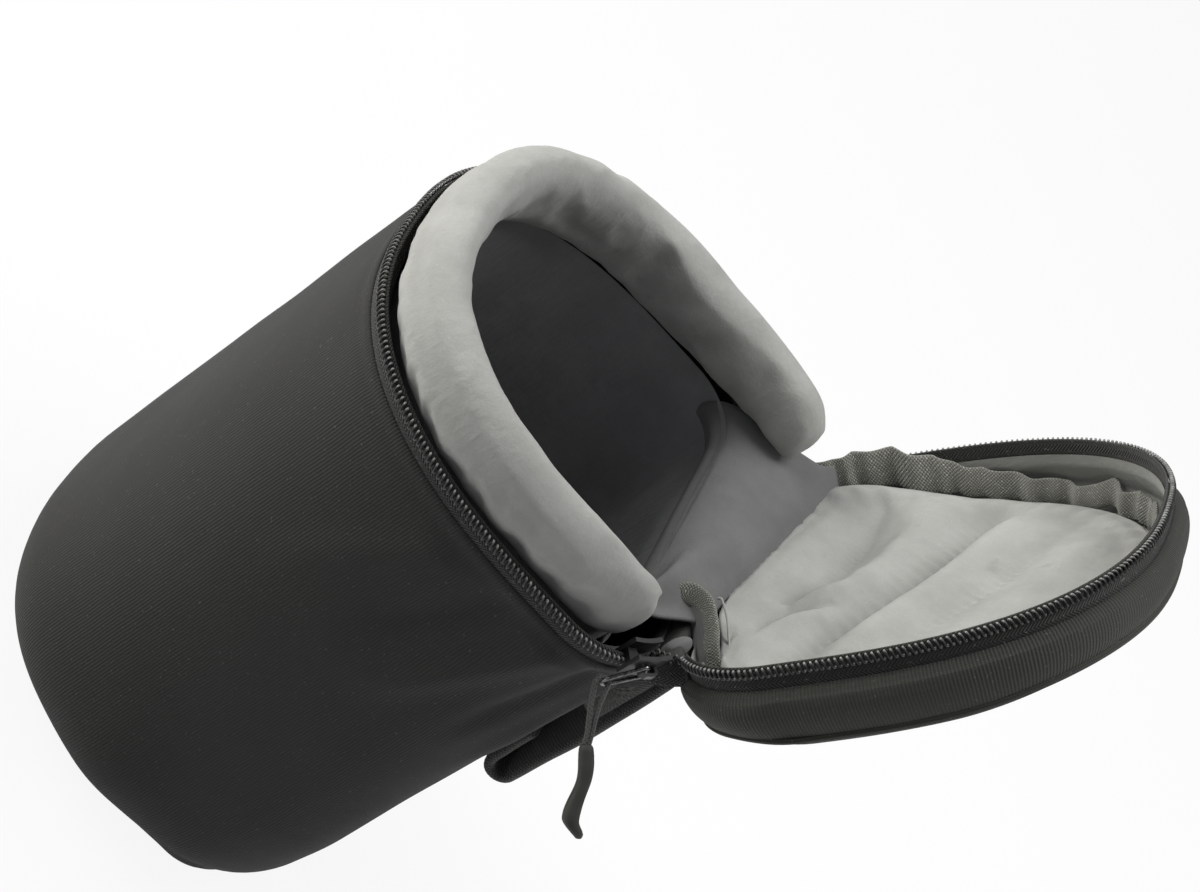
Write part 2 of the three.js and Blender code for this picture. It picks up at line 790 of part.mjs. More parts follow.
const tab_patch_y = back + fit_gap;
const tab_patch_top = tab_top + fit_gap;
addPiece('tab_patch', acrossBack([
  [tab_patch_y, tab_patch_top - tab_patch_height],
  [tab_patch_y + tab_patch_wall, tab_patch_top - tab_patch_height],
  [tab_patch_y + tab_patch_wall, tab_patch_top],
  [tab_patch_y, tab_patch_top],
], tab_width), 'nylon');

const strap_inner_y = back + tab_standoff;
const anchor_low_y = tab_patch_y + tab_patch_wall + fit_gap;
const anchor_high_y = strap_inner_y - fit_gap;
addPiece('tab_anchor', acrossBack([
  [anchor_low_y, tab_top - anchor_height],
  [anchor_high_y - tab_wall, tab_top - anchor_height - tab_wall],
  [anchor_high_y, tab_top - anchor_height],
  [anchor_high_y, tab_top - tab_wall],
  [anchor_high_y - tab_wall, tab_top],
  [anchor_low_y, tab_top],
], tab_width), 'nylon');

// The strap's section follows a centre line down the outside, round the fold and up inside.
function tabStrap() {
  const line = [];
  const y = strap_inner_y + tab_wall / 2;
  const fold = tab_fold_depth / 2;
  const low = tab_low + fold + tab_wall / 2;
  const hang_steps = 5;
  for (let i = 0; i <= hang_steps; i++) {
    const s = i / hang_steps;
    line.push(new THREE.Vector2(y + tab_sway * Math.sin(Math.PI * s), tab_top - (tab_top - low) * s));
  }
  for (let i = 1; i <= arc_steps; i++) {
    const a = rad(180 * (i / arc_steps));
    line.push(new THREE.Vector2(y - fold + fold * Math.cos(a), low - fold * Math.sin(a)));
  }
  line.push(new THREE.Vector2(y - tab_fold_depth, low + tab_fold_height));
  const left = [];
  const right = [];
  line.forEach((p, i) => {
    const a = line[Math.max(i - 1, 0)];
    const b = line[Math.min(i + 1, line.length - 1)];
    const t = b.clone().sub(a).normalize();
    const n = new THREE.Vector2(-t.y, t.x).multiplyScalar(tab_wall / 2);
    left.push(p.clone().add(n));
    right.push(p.clone().sub(n));
  });
  const shape = new THREE.Shape(left.concat(right.reverse()));
  const geometry = new THREE.ExtrudeGeometry(shape, { depth: tab_width, bevelEnabled: false });
  geometry.translate(0, 0, -tab_width / 2);
  const stand = new THREE.Matrix4().makeBasis(new THREE.Vector3(0, 1, 0), up, new THREE.Vector3(1, 0, 0));
  geometry.applyMatrix4(stand);
  return geometryOf(solidOf(geometry));
}
addPiece('tab_strap', tabStrap(), 'nylon');

const hook_y = strap_inner_y - tab_fold_depth - fit_gap;
const hook_low = tab_low + tab_fold_depth;
addPiece('tab_hook_patch', acrossBack([
  [hook_y - hook_patch_wall, hook_low],
  [hook_y, hook_low],
  [hook_y, hook_low + hook_patch_height],
  [hook_y - hook_patch_wall, hook_low + hook_patch_height],
], tab_width - 2 * tab_wall), 'nylon_light');

export default part;
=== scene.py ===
import math
import bpy
import numpy as np
from mathutils import Matrix, Vector, noise


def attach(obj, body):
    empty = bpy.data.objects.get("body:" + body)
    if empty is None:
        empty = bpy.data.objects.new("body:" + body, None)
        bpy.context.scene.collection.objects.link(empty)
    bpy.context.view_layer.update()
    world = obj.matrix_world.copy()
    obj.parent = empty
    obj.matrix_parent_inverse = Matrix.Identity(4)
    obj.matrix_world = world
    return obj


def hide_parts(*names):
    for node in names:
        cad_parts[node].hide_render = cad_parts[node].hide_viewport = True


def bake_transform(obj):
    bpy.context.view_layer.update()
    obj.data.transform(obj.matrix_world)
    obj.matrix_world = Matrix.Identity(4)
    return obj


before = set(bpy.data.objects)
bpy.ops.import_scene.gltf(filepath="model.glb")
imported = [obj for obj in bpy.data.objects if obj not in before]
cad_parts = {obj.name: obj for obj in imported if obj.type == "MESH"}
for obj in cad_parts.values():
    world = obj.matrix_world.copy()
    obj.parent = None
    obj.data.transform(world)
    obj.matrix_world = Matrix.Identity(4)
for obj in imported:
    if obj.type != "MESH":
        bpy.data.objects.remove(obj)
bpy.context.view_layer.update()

MM = 0.001
TAU = 2 * math.pi

# Sizes in millimetres, the same as the solids' own
HALF_WIDTH, FRONT_REACH, FRONT_POWER = 65.0, 78.0, 2.45
SIDE_STRAIGHT, CORNER_RADIUS = 11.0, 27.0
BACK = SIDE_STRAIGHT + CORNER_RADIUS
CORNER_X = HALF_WIDTH - CORNER_RADIUS
ZIP_Z = 168.0
PARTING = 168.2
RIM = 168.3
ROUND_HEIGHT, ROUND_INSET, TAPER = 27.0, 17.0, 1.0
LID_RISE, LID_BULGE, LID_EDGE = 27.5, 2.5, 18.0
LID_SEAM = 40.0
HINGE = np.array([0.0, 38.0, 164.0])
HINGE_SKEW, LID_OPEN = 7.0, 115.0
TAPE_HEIGHT, COIL_GAP, COIL_PITCH = 6.6, 2.0, 1.5
LID_CLOTH, LID_FOAM, FIT_GAP = 1.0, 3.0, 0.3
SHELL_TOP = ZIP_Z - TAPE_HEIGHT - FIT_GAP
LID_LOW = PARTING + COIL_GAP / 2 + TAPE_HEIGHT - FIT_GAP
PAD_HIGH = RIM + LID_RISE - LID_CLOTH - FIT_GAP - LID_FOAM - FIT_GAP
ZIP_END, COLLAR_END, BINDING_END = 62.0, 56.0, 58.0
MIDDLE = np.array([0, (BACK - FRONT_REACH) / 2, 0])
EDGE_Z = RIM + LID_RISE - LID_EDGE

# Sizes of the scene's own cloth, coil and thread in millimetres, steps per turn of coil, and gains
COIL_HALF, COIL_STEPS, BODY_TAPE_LOW, THREAD_RADIUS = 1.35, 12, 161.2, 0.22
LINING_INSET, FLOOR_Z, FLOOR_INSET, BASE_INSET, PAD_LOW = 10.9, 9.3, 17.5, 18.4, 180.2
FOLD_GAIN, CREASE_GAIN = 1.4, 1.35


# ---- Outline of the mouth and the turn of the lid ----

def outline_table():
    """Places round the mouth, each with its x, y and outward normal, and the run up to each."""
    steps, half = 48, []
    for i in range(steps + 1):
        half.append((CORNER_X * i / steps, BACK, 0.0, 1.0))
    for i in range(1, steps + 1):
        a = math.radians(90 * (1 - i / steps))
        c, s = math.cos(a), math.sin(a)
        half.append((CORNER_X + CORNER_RADIUS * c, SIDE_STRAIGHT + CORNER_RADIUS * s, c, s))
    half.append((HALF_WIDTH, 0.0, 1.0, 0.0))
    for i in range(1, 2 * steps + 1):
        t = math.radians(90 * (1 - i / (2 * steps)))
        c, s = max(math.cos(t), 0.0), max(math.sin(t), 0.0)
        x = HALF_WIDTH * s ** (2 / FRONT_POWER)
        y = -FRONT_REACH * c ** (2 / FRONT_POWER)
        gx = (x / HALF_WIDTH) ** (FRONT_POWER - 1) / HALF_WIDTH
        gy = -((-y / FRONT_REACH) ** (FRONT_POWER - 1)) / FRONT_REACH
        g = math.hypot(gx, gy)
        half.append((x, y, gx / g, gy / g))
    other = [(-x, y, -nx, ny) for x, y, nx, ny in half[1:-1][::-1]]
    table = np.array(half + other + [half[0]])
    run = np.concatenate([[0], np.cumsum(np.hypot(*np.diff(table[:, :2], axis=0).T))])
    return table, run


TABLE, RUN = outline_table()
LENGTH = RUN[-1]


def outline(run, inset):
    """x, y and the outward normal at each run along the outline, moved in by an inset."""
    run = np.mod(run, LENGTH)
    x, y, nx, ny = (np.interp(run, RUN, TABLE[:, k]) for k in range(4))
    n = np.hypot(nx, ny)
    nx, ny = nx / n, ny / n
    return x - nx * inset, y - ny * inset, nx, ny


def at_angle(angle):
    """Run along the outline to an angle on the back corner, counted from +X."""
    return CORNER_X + CORNER_RADIUS * math.radians(90 - angle)


def around(run, inset, z):
    """Points on the outline at given runs, insets and heights, all broadcast together."""
    run, inset, z = np.broadcast_arrays(*(np.asarray(a, float) for a in (run, inset, z)))
    x, y, _, _ = outline(run, inset)
    return np.stack([x, y, z], axis=-1)


HINGE_AXIS = Vector((1.0, 0.0, math.tan(math.radians(HINGE_SKEW)))).normalized()
OPEN = np.array(Matrix.Rotation(-math.radians(LID_OPEN), 3, HINGE_AXIS))


def opened(points):
    """Points of the shut lid, turned to the open lid."""
    return (np.asarray(points) - HINGE) @ OPEN.T + HINGE


def smooth(t, a, b):
    """0 before a, 1 after b, with a soft step between them."""
    t = np.clip((np.asarray(t, float) - a) / (b - a), 0, 1)
    return t * t * (3 - 2 * t)


def bump(t, centre, width):
    return np.exp(-(((np.asarray(t, float) - centre) / width) ** 2))


def squarish(value, power):
    """A cosine or sine, reshaped so that its circle turns into a rounded square."""
    return np.sign(value) * np.abs(value) ** power


def unit(v):
    """Each vector at length 1."""
    return v / np.linalg.norm(v, axis=-1, keepdims=True)


def seam_line(run, inset, z):
    """Points of a seam on the outline and the outward normals there."""
    x, y, nx, ny = outline(run, inset)
    return np.stack([x, y, z + 0 * x], axis=1), np.stack([nx, ny, 0 * nx], axis=1)


def whole_run(cols=288):
    """Places all round the outline."""
    return LENGTH * np.arange(cols) / cols


def zip_run(count, end=ZIP_END):
    """Places along the outline from one end of the zip to the other."""
    start = at_angle(end)
    return np.linspace(start, LENGTH - start, count)


def wobble(points, scale, seed):
    """Soft noise, about -1 to 1, at each point; scale is the size of its features in millimetres."""
    flat = np.asarray(points, float).reshape(-1, 3) / scale
    out = [noise.noise(Vector((p[0] + seed, p[1] - seed, p[2] + 2 * seed))) for p in flat]
    return np.array(out).reshape(np.asarray(points).shape[:-1])


# ---- Meshes ----

def add(name, data):
    obj = bpy.data.objects.new(name, data)
    bpy.context.scene.collection.objects.link(obj)
    return obj


def make(name, verts, faces, mat, uv=None):
    """A smooth mesh from points in millimetres; uv has one pair for each corner of each face."""
    mesh = bpy.data.meshes.new(name)
    mesh.from_pydata([tuple(v) for v in np.asarray(verts, float) * MM], [], faces)
    if uv is not None:
        layer = mesh.uv_layers.new(name="cloth")
        layer.data.foreach_set("uv", np.asarray(uv, np.float32).ravel())
    mesh.polygons.foreach_set("use_smooth", [True] * len(mesh.polygons))
    mesh.materials.append(M[mat])
    mesh.update()
    return add(name, mesh)


def grid(name, pts, mat, wrap_rows=False, wrap_cols=False, caps="", u=None, v=None):
    """A skin over rows and columns of points, with its first or last row closed where caps says so.
    u and v are cloth coordinates in millimetres."""
    rows, cols = pts.shape[:2]
    if u is None:
        step = np.linalg.norm(np.diff(pts, axis=1), axis=2).mean(axis=0)
        u = np.concatenate([[0], np.cumsum(step), [np.sum(step) + step.mean()]])
    if v is None:
        step = np.linalg.norm(np.diff(pts, axis=0), axis=2).mean(axis=1)
        v = np.concatenate([[0], np.cumsum(step), [np.sum(step) + step.mean()]])
    faces, uv = [], []
    for r in range(rows if wrap_rows else rows - 1):
        r2 = (r + 1) % rows
        for c in range(cols if wrap_cols else cols - 1):
            c2 = (c + 1) % cols
            faces.append((r * cols + c, r * cols + c2, r2 * cols + c2, r2 * cols + c))
            uv += [(u[c], v[r]), (u[c + 1], v[r]), (u[c + 1], v[r + 1]), (u[c], v[r + 1])]
    verts = list(pts.reshape(-1, 3))
    for r, turn, which in ((0, True, "first"), (rows - 1, False, "last")):
        if which not in caps:
            continue
        hub = len(verts)
        verts.append(pts[r].mean(axis=0))
        for c in range(cols):
            c2 = (c + 1) % cols
            a, b = (r * cols + c2, r * cols + c) if turn else (r * cols + c, r * cols + c2)
            faces.append((a, b, hub))
            uv += [(u[c], v[r]), (u[c + 1], v[r]), (u[c], v[r] + 3)]
    return make(name, verts, faces, mat, uv)


def flat_uv(obj, pts):
    """Cloth coordinates of a grid with a hub, from its x and y before the lid is turned open."""
    flat = np.concatenate([pts.reshape(-1, 3), [pts[-1].mean(axis=0)]])
    layer = obj.data.uv_layers["cloth"].data
    for loop in obj.data.loops:
        layer[loop.index].uv = (flat[loop.vertex_index][0], flat[loop.vertex_index][1])


def inward(edge, shares):
    """Rings that shrink from an edge towards the middle of the outline."""
    return np.array([MIDDLE + (edge - MIDDLE) * (1 - share) for share in shares])


def thicken(obj, thickness):
    """Gives a single skin the thickness of its cloth, in millimetres."""
    cloth = obj.modifiers.new("cloth", "SOLIDIFY")
    cloth.thickness, cloth.offset = thickness * MM, 0.0


def show(obj, body, slot, *solids):
    """Fixes a piece to its body, in place of the solids that it stands for; slot, its finish, is not
    used.
    """
    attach(obj, body)
    if solids:
        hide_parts(*solids)


def bend(obj):
    """Bakes the piece's place into its points."""
    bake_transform(obj)


def stuffed(obj, pinned_below):
    """Simulates a stuffed cover, sewn down below a height, so that it puffs and puckers a little."""
    voxel, pressure, frame_count, most = 2.6, 4.0, 20, 1.3
    scene = bpy.context.scene

    def settle(frame_number=1):
        scene.frame_set(frame_number)
        graph = bpy.context.evaluated_depsgraph_get()
        return bpy.data.meshes.new_from_object(obj.evaluated_get(graph))

    remesh = obj.modifiers.new("remesh", "REMESH")
    remesh.mode, remesh.voxel_size, remesh.use_smooth_shade = "VOXEL", voxel * MM, True
    mesh = settle()
    obj.modifiers.clear()
    obj.data = mesh
    before = np.array([v.co[:] for v in mesh.vertices])
    group = obj.vertex_groups.new(name="sewn")
    group.add([i for i, co in enumerate(before) if co[2] < pinned_below * MM], 1.0, "REPLACE")
    cloth = obj.modifiers.new("cloth", "CLOTH").settings
    cloth.vertex_group_mass = "sewn"
    cloth.effector_weights.gravity = 0.0
    cloth.use_pressure, cloth.uniform_pressure_force = True, pressure
    cloth.quality, cloth.mass = 6, 0.2
    cloth.shrink_min = -0.035
    for frame_number in range(1, frame_count + 1):
        mesh = settle(frame_number)
    moved = np.array([v.co[:] for v in mesh.vertices]) - before
    far = np.linalg.norm(moved, axis=1, keepdims=True)
    after = before + moved * np.minimum(1, most * MM / np.maximum(far, 1e-9))
    obj.modifiers.clear()
    obj.vertex_groups.clear()
    mesh.vertices.foreach_set("co", after.astype(np.float32).ravel())
    obj.data = mesh
    smoother = obj.modifiers.new("smoother", "SUBSURF")
    smoother.levels = smoother.render_levels = 1
    obj.data = settle()
    obj.modifiers.clear()
    obj.data.polygons.foreach_set("use_smooth", [True] * len(obj.data.polygons))


def inside_zip(obj):
    """Keeps the collar behind the zip tape and the lid's lining, so that the lid can shut."""
    co = np.array([v.co[:] for v in obj.data.vertices]) / MM
    gap = np.hypot(co[:, None, 0] - TABLE[None, :, 0], co[:, None, 1] - TABLE[None, :, 1])
    near = TABLE[gap.argmin(axis=1)]
    inset = np.sum((near[:, :2] - co[:, :2]) * near[:, 2:], axis=1)
    limit = 0.95 + 0.75 * smooth(co[:, 2], 174, 177.5)
    spare = inset - limit
    kept = limit + 0.5 * (spare + np.sqrt(spare * spare + 0.3))
    share = smooth(co[:, 2], 166.5, 168.5) * (1 - smooth(co[:, 1], 14, 30))
    co[:, :2] -= near[:, 2:] * ((kept - inset) * share)[:, None]
    obj.data.vertices.foreach_set("co", (co * MM).astype(np.float32).ravel())
    obj.data.update()


def frames(path, up, closed=False):
    """Two unit vectors square to a path at each of its points, carried along without twist."""
    path = np.asarray(path, float)
    if closed:
        tangent = np.roll(path, -1, axis=0) - np.roll(path, 1, axis=0)
    else:
        tangent = np.gradient(path, axis=0)
    side = np.array(up, float)
    first, second = [], []
    for t in unit(tangent):
        side = unit(side - t * side.dot(t))
        first.append(side)
        second.append(np.cross(t, side))
    return np.array(first), np.array(second)


def tube_points(path, wide, thick=None, sides=12, closed=False, up=(0, 0, 1), power=1.0):
    """Rings of points round a path, one row for each of its places."""
    thick = wide if thick is None else thick
    a, b = frames(path, up, closed)
    angle = TAU * np.arange(sides) / sides
    c, s = squarish(np.cos(angle), power), squarish(np.sin(angle), power)
    wide, thick = (np.broadcast_to(np.asarray(r, float), (len(path),)) for r in (wide, thick))
    return (np.asarray(path)[:, None, :] + a[:, None, :] * (wide[:, None] * c)[..., None]
            + b[:, None, :] * (thick[:, None] * s)[..., None])


def tube(name, path, wide, mat, closed=False, v=None, **section):
    """A tube of radius wide along a path; its section can be thick across and squared by a power."""
    pts = tube_points(path, wide, closed=closed, **section)
    caps = "" if closed else "first last"
    return grid(name, pts, mat, wrap_rows=closed, wrap_cols=True, caps=caps, v=v)


def spline(points, count, closed=False):
    """A smooth line of count points through a few given ones."""
    p = np.asarray(points, float)
    n = len(p)
    last = n if closed else n - 1
    out = []
    for x in np.linspace(0, last, count, endpoint=not closed):
        i = min(int(x), last - 1)
        f = x - i
        a, b, c, d = (p[(i + k) % n if closed else min(max(i + k, 0), n - 1)] for k in (-1, 0, 1, 2))
        out.append(0.5 * ((2 * b) + (c - a) * f + (2 * a - 5 * b + 4 * c - d) * f ** 2
                          + (3 * b - a - 3 * c + d) * f ** 3))
    return np.array(out)


def stitches(name, path, normals, length=2.6, gap=1.3, sink=0.0):
    """A row of threads on a surface: short tubes that rise a little in the middle."""
    run = np.concatenate([[0], np.cumsum(np.linalg.norm(np.diff(path, axis=0), axis=1))])
    verts, faces, uv = [], [], []
    start = gap
    while start + length < run[-1]:
        at = start + length * np.linspace(0, 1, 5)
        line = np.stack([np.interp(at, run, path[:, k]) for k in range(3)], axis=1)
        up = np.stack([np.interp(at, run, normals[:, k]) for k in range(3)], axis=1)
        rise = np.array([-0.3, 0.12, 0.2, 0.12, -0.3]) - sink
        line = line + up * rise[:, None]
        ring = tube_points(line, THREAD_RADIUS, sides=5, up=up[0])
        base = len(verts)
        verts += list(ring.reshape(-1, 3))
        for r in range(4):
            for c in range(5):
                c2 = (c + 1) % 5
                row = base + r * 5
                faces.append((row + c, row + c2, row + 5 + c2, row + 5 + c))
                uv += [(r, c), (r, c + 1), (r + 1, c + 1), (r + 1, c)]
        start += length + gap
    return make(name, verts, faces, "thread", uv)


# ---- Materials ----

class Nodes:
    """A node tree, with short ways to add nodes and to fill their inputs."""

    def __init__(self, tree):
        self.tree = tree

    def fill(self, node, inputs):
        """Gives each input, by its number or name, a value or the output that it is joined to."""
        for key, value in inputs.items():
            if isinstance(value, bpy.types.NodeSocket):
                self.tree.links.new(value, node.inputs[key])
            else:
                node.inputs[key].default_value = value

    def node(self, kind, inputs, **settings):
        made = self.tree.nodes.new("ShaderNode" + kind)
        for key, value in settings.items():
            setattr(made, key, value)
        self.fill(made, inputs)
        return made

    def math(self, operation, *inputs):
        return self.node("Math", dict(enumerate(inputs)), operation=operation).outputs[0]


class Paint(Nodes):
    """A material under construction: noises and waves in millimetres, colours and relief."""

    def __init__(self, name, rough, metal=0.0, sheen=0.0, specular=0.5, coat=0.0):
        self.mat = bpy.data.materials.new(name)
        self.mat.use_nodes = True
        super().__init__(self.mat.node_tree)
        self.bsdf = self.tree.nodes["Principled BSDF"]
        self.fill(self.bsdf, {"Roughness": rough, "Metallic": metal, "Coat Weight": coat,
                              "Sheen Weight": sheen, "Sheen Roughness": 0.6,
                              "Specular IOR Level": specular})
        coords = self.node("TexCoord", {})
        self.place = self.times(coords.outputs["Object"], (1000, 1000, 1000))
        self.u, self.v = self.node("SeparateXYZ", {0: coords.outputs["UV"]}).outputs[:2]

    def times(self, vector, scale):
        return self.node("VectorMath", {0: vector, 1: scale}, operation="MULTIPLY").outputs[0]

    def stretched(self, x, y, z):
        """The place in the object, so that a noise there is drawn out by these factors."""
        return self.times(self.place, (1 / x, 1 / y, 1 / z))

    def noise(self, size, detail, at=None, rough=0.5):
        at = self.place if at is None else at
        inputs = {"Vector": at, "Scale": 1.0 / size, "Detail": detail, "Roughness": rough}
        return self.node("TexNoise", inputs).outputs[0]

    def waves(self, along, pitch):
        """0 to 1 and back with a pitch in millimetres."""
        angle = self.math("MULTIPLY", along, TAU / pitch)
        return self.math("MULTIPLY_ADD", self.math("SINE", angle), 0.5, 0.5)

    def range(self, *value_and_limits):
        """A value mapped from its first two limits to the other two."""
        return self.node("MapRange", dict(enumerate(value_and_limits))).outputs[0]

    def spots(self, size, detail, *limits):
        return self.range(self.noise(size, detail), *limits)

    def mix(self, share, a, b):
        return self.node("Mix", {0: share, 6: a, 7: b}, data_type="RGBA").outputs[2]

    def bump(self, height, distance, strength, after=None):
        inputs = {"Height": height, "Distance": distance * MM, "Strength": strength}
        if after is not None:
            inputs["Normal"] = after
        return self.node("Bump", inputs).outputs[0]

    def done(self, colour, normal, rough=None):
        """Joins the colour, the relief and the roughness to the surface, and gives the material."""
        self.fill(self.bsdf, {"Base Color": colour, "Normal": normal})
        if rough is not None:
            self.fill(self.bsdf, {"Roughness": rough})
        return self.mat


def grey(level, warm=0.0):
    """A neutral colour from an sRGB level of 0 to 255, warmed towards green and yellow."""
    base = [level + 1.2 * warm, level + 1.4 * warm, level - 2.0 * warm]
    out = [(max(c, 0) / 255) ** 2.2 for c in base]
    return (*out, 1.0)


def nylon(name, level, pitch, depth, sheen=0.03, specks=0.5, ribs_along="u", warm=0.5):
    """Ribbed pack cloth: raised ribs, a finer cross thread, dust specks and cloudy wear."""
    p = Paint(name, 0.82, sheen=sheen, specular=0.22)
    along, across = (p.u, p.v) if ribs_along == "u" else (p.v, p.u)
    ribs = p.waves(p.math("MULTIPLY_ADD", p.noise(9, 1), 0.5, along), pitch)
    weave = p.math("MULTIPLY_ADD", p.waves(across, 0.62), 0.3, ribs)
    cloud = p.spots(34, 3, 0.3, 0.7, 0, 1)
    tone = p.mix(cloud, grey(level * 0.93, warm), grey(level * 1.07, warm))
    tone = p.mix(p.range(ribs, 0.0, 0.55, 0.55, 0), tone, grey(level * 0.62, warm))
    tone = p.mix(p.spots(0.9, 1, 0.70, 0.76, 0, 0.55 * specks), tone, grey(level * 1.8 + 18, warm))
    soft = p.bump(p.noise(22, 2), 1.2, 0.35)
    return p.done(tone, p.bump(weave, depth, 0.7, soft), p.range(cloud, 0, 1, 0.74, 0.88))


def tricot(name, level, warm, wrinkle=1.0, streak="z"):
    """Brushed lining: short nap, faint marks, small pulls in the cloth and a matt sheen."""
    p = Paint(name, 0.94, sheen=0.15, specular=0.15)
    nap = p.noise(0.55, 3)
    direction = p.stretched(1.0, 1.0, 5.0) if streak == "z" else p.stretched(6.0, 1.2, 1.2)
    pulls = p.noise(1.6, 3, at=direction)
    blot = p.range(p.noise(15, 3, rough=0.6), 0.36, 0.66, 0, 1)
    tone = p.mix(blot, grey(level * 0.955, warm), grey(level * 1.03, warm))
    tone = p.mix(p.spots(6.5, 2, 0.66, 0.8, 0, 0.35), tone, grey(level * 0.78, warm))
    tone = p.mix(p.range(nap, 0.3, 0.7, 0.22, 0), tone, grey(level * 0.86, warm))
    tone = p.mix(p.spots(0.8, 1, 0.74, 0.8, 0, 0.3), tone, grey(min(level * 1.25, 238), warm))
    relief = p.bump(pulls, 0.35, 0.45, p.bump(p.noise(11, 3), 1.6 * wrinkle, 0.35))
    return p.done(tone, p.bump(nap, 0.12, 0.6, relief))


def webbing(name, level, warp, weft, depth, warm, fleck):
    """Coarse woven band: cords across it, a thread between them and pale flecks on the cords."""
    p = Paint(name, 0.9, sheen=0.2, specular=0.3)
    a, b = p.waves(p.u, warp), p.waves(p.v, weft)
    between = p.math("MULTIPLY", p.math("SUBTRACT", 1.0, a), p.math("SUBTRACT", 1.0, b))
    over = p.math("MAXIMUM", p.math("MULTIPLY", a, b), between)
    tone = p.mix(p.range(over, 0.05, 0.6, 0, 1), grey(level * 0.55, warm), grey(level * 1.12, warm))
    spark = p.math("MULTIPLY", p.spots(0.7, 1, 0.55, 0.72, 0, fleck), p.range(over, 0.3, 0.9, 0, 1))
    tone = p.mix(spark, tone, grey(min(level * 2.0 + 20, 225), warm))
    tone = p.mix(p.spots(12, 2, 0.35, 0.7, 0, 0.3), tone, grey(level * 0.75, warm))
    return p.done(tone, p.bump(over, depth, 0.9))


def herringbone(name, level):
    """Zip tape: slanted threads that turn back at each stripe along the tape."""
    p = Paint(name, 0.88, sheen=0.12, specular=0.3)
    fold = p.math("PINGPONG", p.v, 1.7)
    threads = p.waves(p.math("MULTIPLY_ADD", fold, 1.15, p.u), 1.05)
    stripe = p.waves(p.v, 3.4)
    tone = p.mix(threads, grey(level * 0.6, 1), grey(level * 1.5, 1))
    tone = p.mix(p.range(stripe, 0.9, 1.0, 0, 0.5), tone, grey(level * 0.5, 1))
    tone = p.mix(p.spots(0.9, 1, 0.68, 0.75, 0, 0.5), tone, grey(level * 3 + 20, 1))
    return p.done(tone, p.bump(threads, 0.22, 0.8))


def moulded(name, level, rough, fine, depth, warm, worn, coat=0.0):
    """Moulded or painted surface: slight mottling, fine grain and paler rubbed edges."""
    p = Paint(name, rough, specular=0.35, coat=coat)
    mottle = p.spots(4, 2, 0.3, 0.7, 0, 1)
    tone = p.mix(mottle, grey(level * 0.92, warm), grey(level * 1.08, warm))
    geometry = p.node("NewGeometry", {})
    edge = p.range(geometry.outputs["Pointiness"], 0.52, 0.58, 0, 0.7)
    tone = p.mix(edge, tone, grey(min(level * worn + 12, 240), warm))
    patchy = p.spots(2.2, 3, 0.3, 0.7, rough - 0.07, rough + 0.09)
    return p.done(tone, p.bump(p.noise(fine, 2), depth, 0.5), patchy)


def wire_steel(name):
    """Drawn steel wire: fine lines along it, small dull patches."""
    p = Paint(name, 0.26, metal=1.0)
    tone = p.mix(p.spots(1.2, 3, 0.35, 0.7, 0, 1), grey(72), grey(118))
    lines = p.bump(p.noise(0.3, 2, at=p.stretched(4, 4, 1)), 0.03, 0.4)
    return p.done(tone, lines, p.spots(0.8, 2, 0.3, 0.7, 0.2, 0.42))


def filament(name, low, high):
    """Nylon filament of a zip, with a painted highlight where each turn faces out; the cloth's v counts
    turns.
    """
    p = Paint(name, 0.36)
    # Painted highlight: pale on the outer face of each turn, uneven along the zip
    pale = p.math("POWER", p.waves(p.math("SUBTRACT", p.v, 0.125), 0.5), 2.0)
    uneven = p.spots(3.0, 2, 0.35, 0.65, 0.45, 1.0)
    tone = p.mix(p.math("MULTIPLY", pale, uneven), grey(low, 0.5), grey(high, 1.0))
    return p.done(tone, p.bump(p.noise(0.25, 2), 0.02, 0.4), p.spots(0.8, 2, 0.3, 0.7, 0.3, 0.5))


def strands(name, level, pitch):
    """Braided cord: slanted strands and a soft shine."""
    p = Paint(name, 0.6, sheen=0.1, specular=0.45)
    a, b = (p.waves(p.math("MULTIPLY_ADD", p.v, slant, p.u), pitch) for slant in (1.0, -1.0))
    over = p.math("MAXIMUM", a, b)
    return p.done(p.mix(over, grey(level * 0.5), grey(level * 1.15, 1)), p.bump(over, 0.15, 0.8))


M = {
    "shell": nylon("shell_nylon", 48, 0.85, 0.09),
    "shell_base": nylon("base_nylon", 41, 0.85, 0.09, ribs_along="v"),
    "lid": nylon("lid_nylon", 58, 0.9, 0.16, sheen=0.05, specks=0.4, warm=1.0),
    "tab": webbing("tab_webbing", 62, 1.5, 1.1, 0.16, warm=1.0, fleck=0.25),
    "collar": tricot("collar_tricot", 152, 1.1),
    "pad": tricot("pad_tricot", 151, 1.1, wrinkle=0.8, streak="x"),
    # Painted shade: side, hinge and inside are darker copies of the one grey lining, the hinge darkest
    # and coolest
    "side": tricot("side_tricot", 134, 1.4, wrinkle=0.5),
    "hinge": tricot("shaded_hinge_tricot", 100, 0.1, wrinkle=0.5, streak="x"),
    "inside": tricot("shaded_inside_tricot", 132, -0.4, wrinkle=0.8),
    "binding": webbing("binding_web", 108, 0.9, 0.75, 0.22, warm=2.2, fleck=0.5),
    "tape": herringbone("zip_tape_cloth", 30),
    # The coil's level of 150 is its painted highlight
    "coil": filament("zip_coil_nylon", 30, 150),
    "thread": strands("sewing_thread", 84, 0.5),
    "slider": moulded("slider_paint", 22, 0.44, fine=0.5, depth=0.02, warm=0, worn=2.0, coat=0.05),
    "wire": wire_steel("wire_steel"),
    "cord": strands("cord_strands", 58, 1.1),
    "rubber": moulded("grip_rubber", 52, 0.62, fine=0.3, depth=0.05, warm=1.0, worn=1.3),
    "pile": tricot("hook_pile", 46, 0.5, wrinkle=0.4),
}


# ---- Body ----

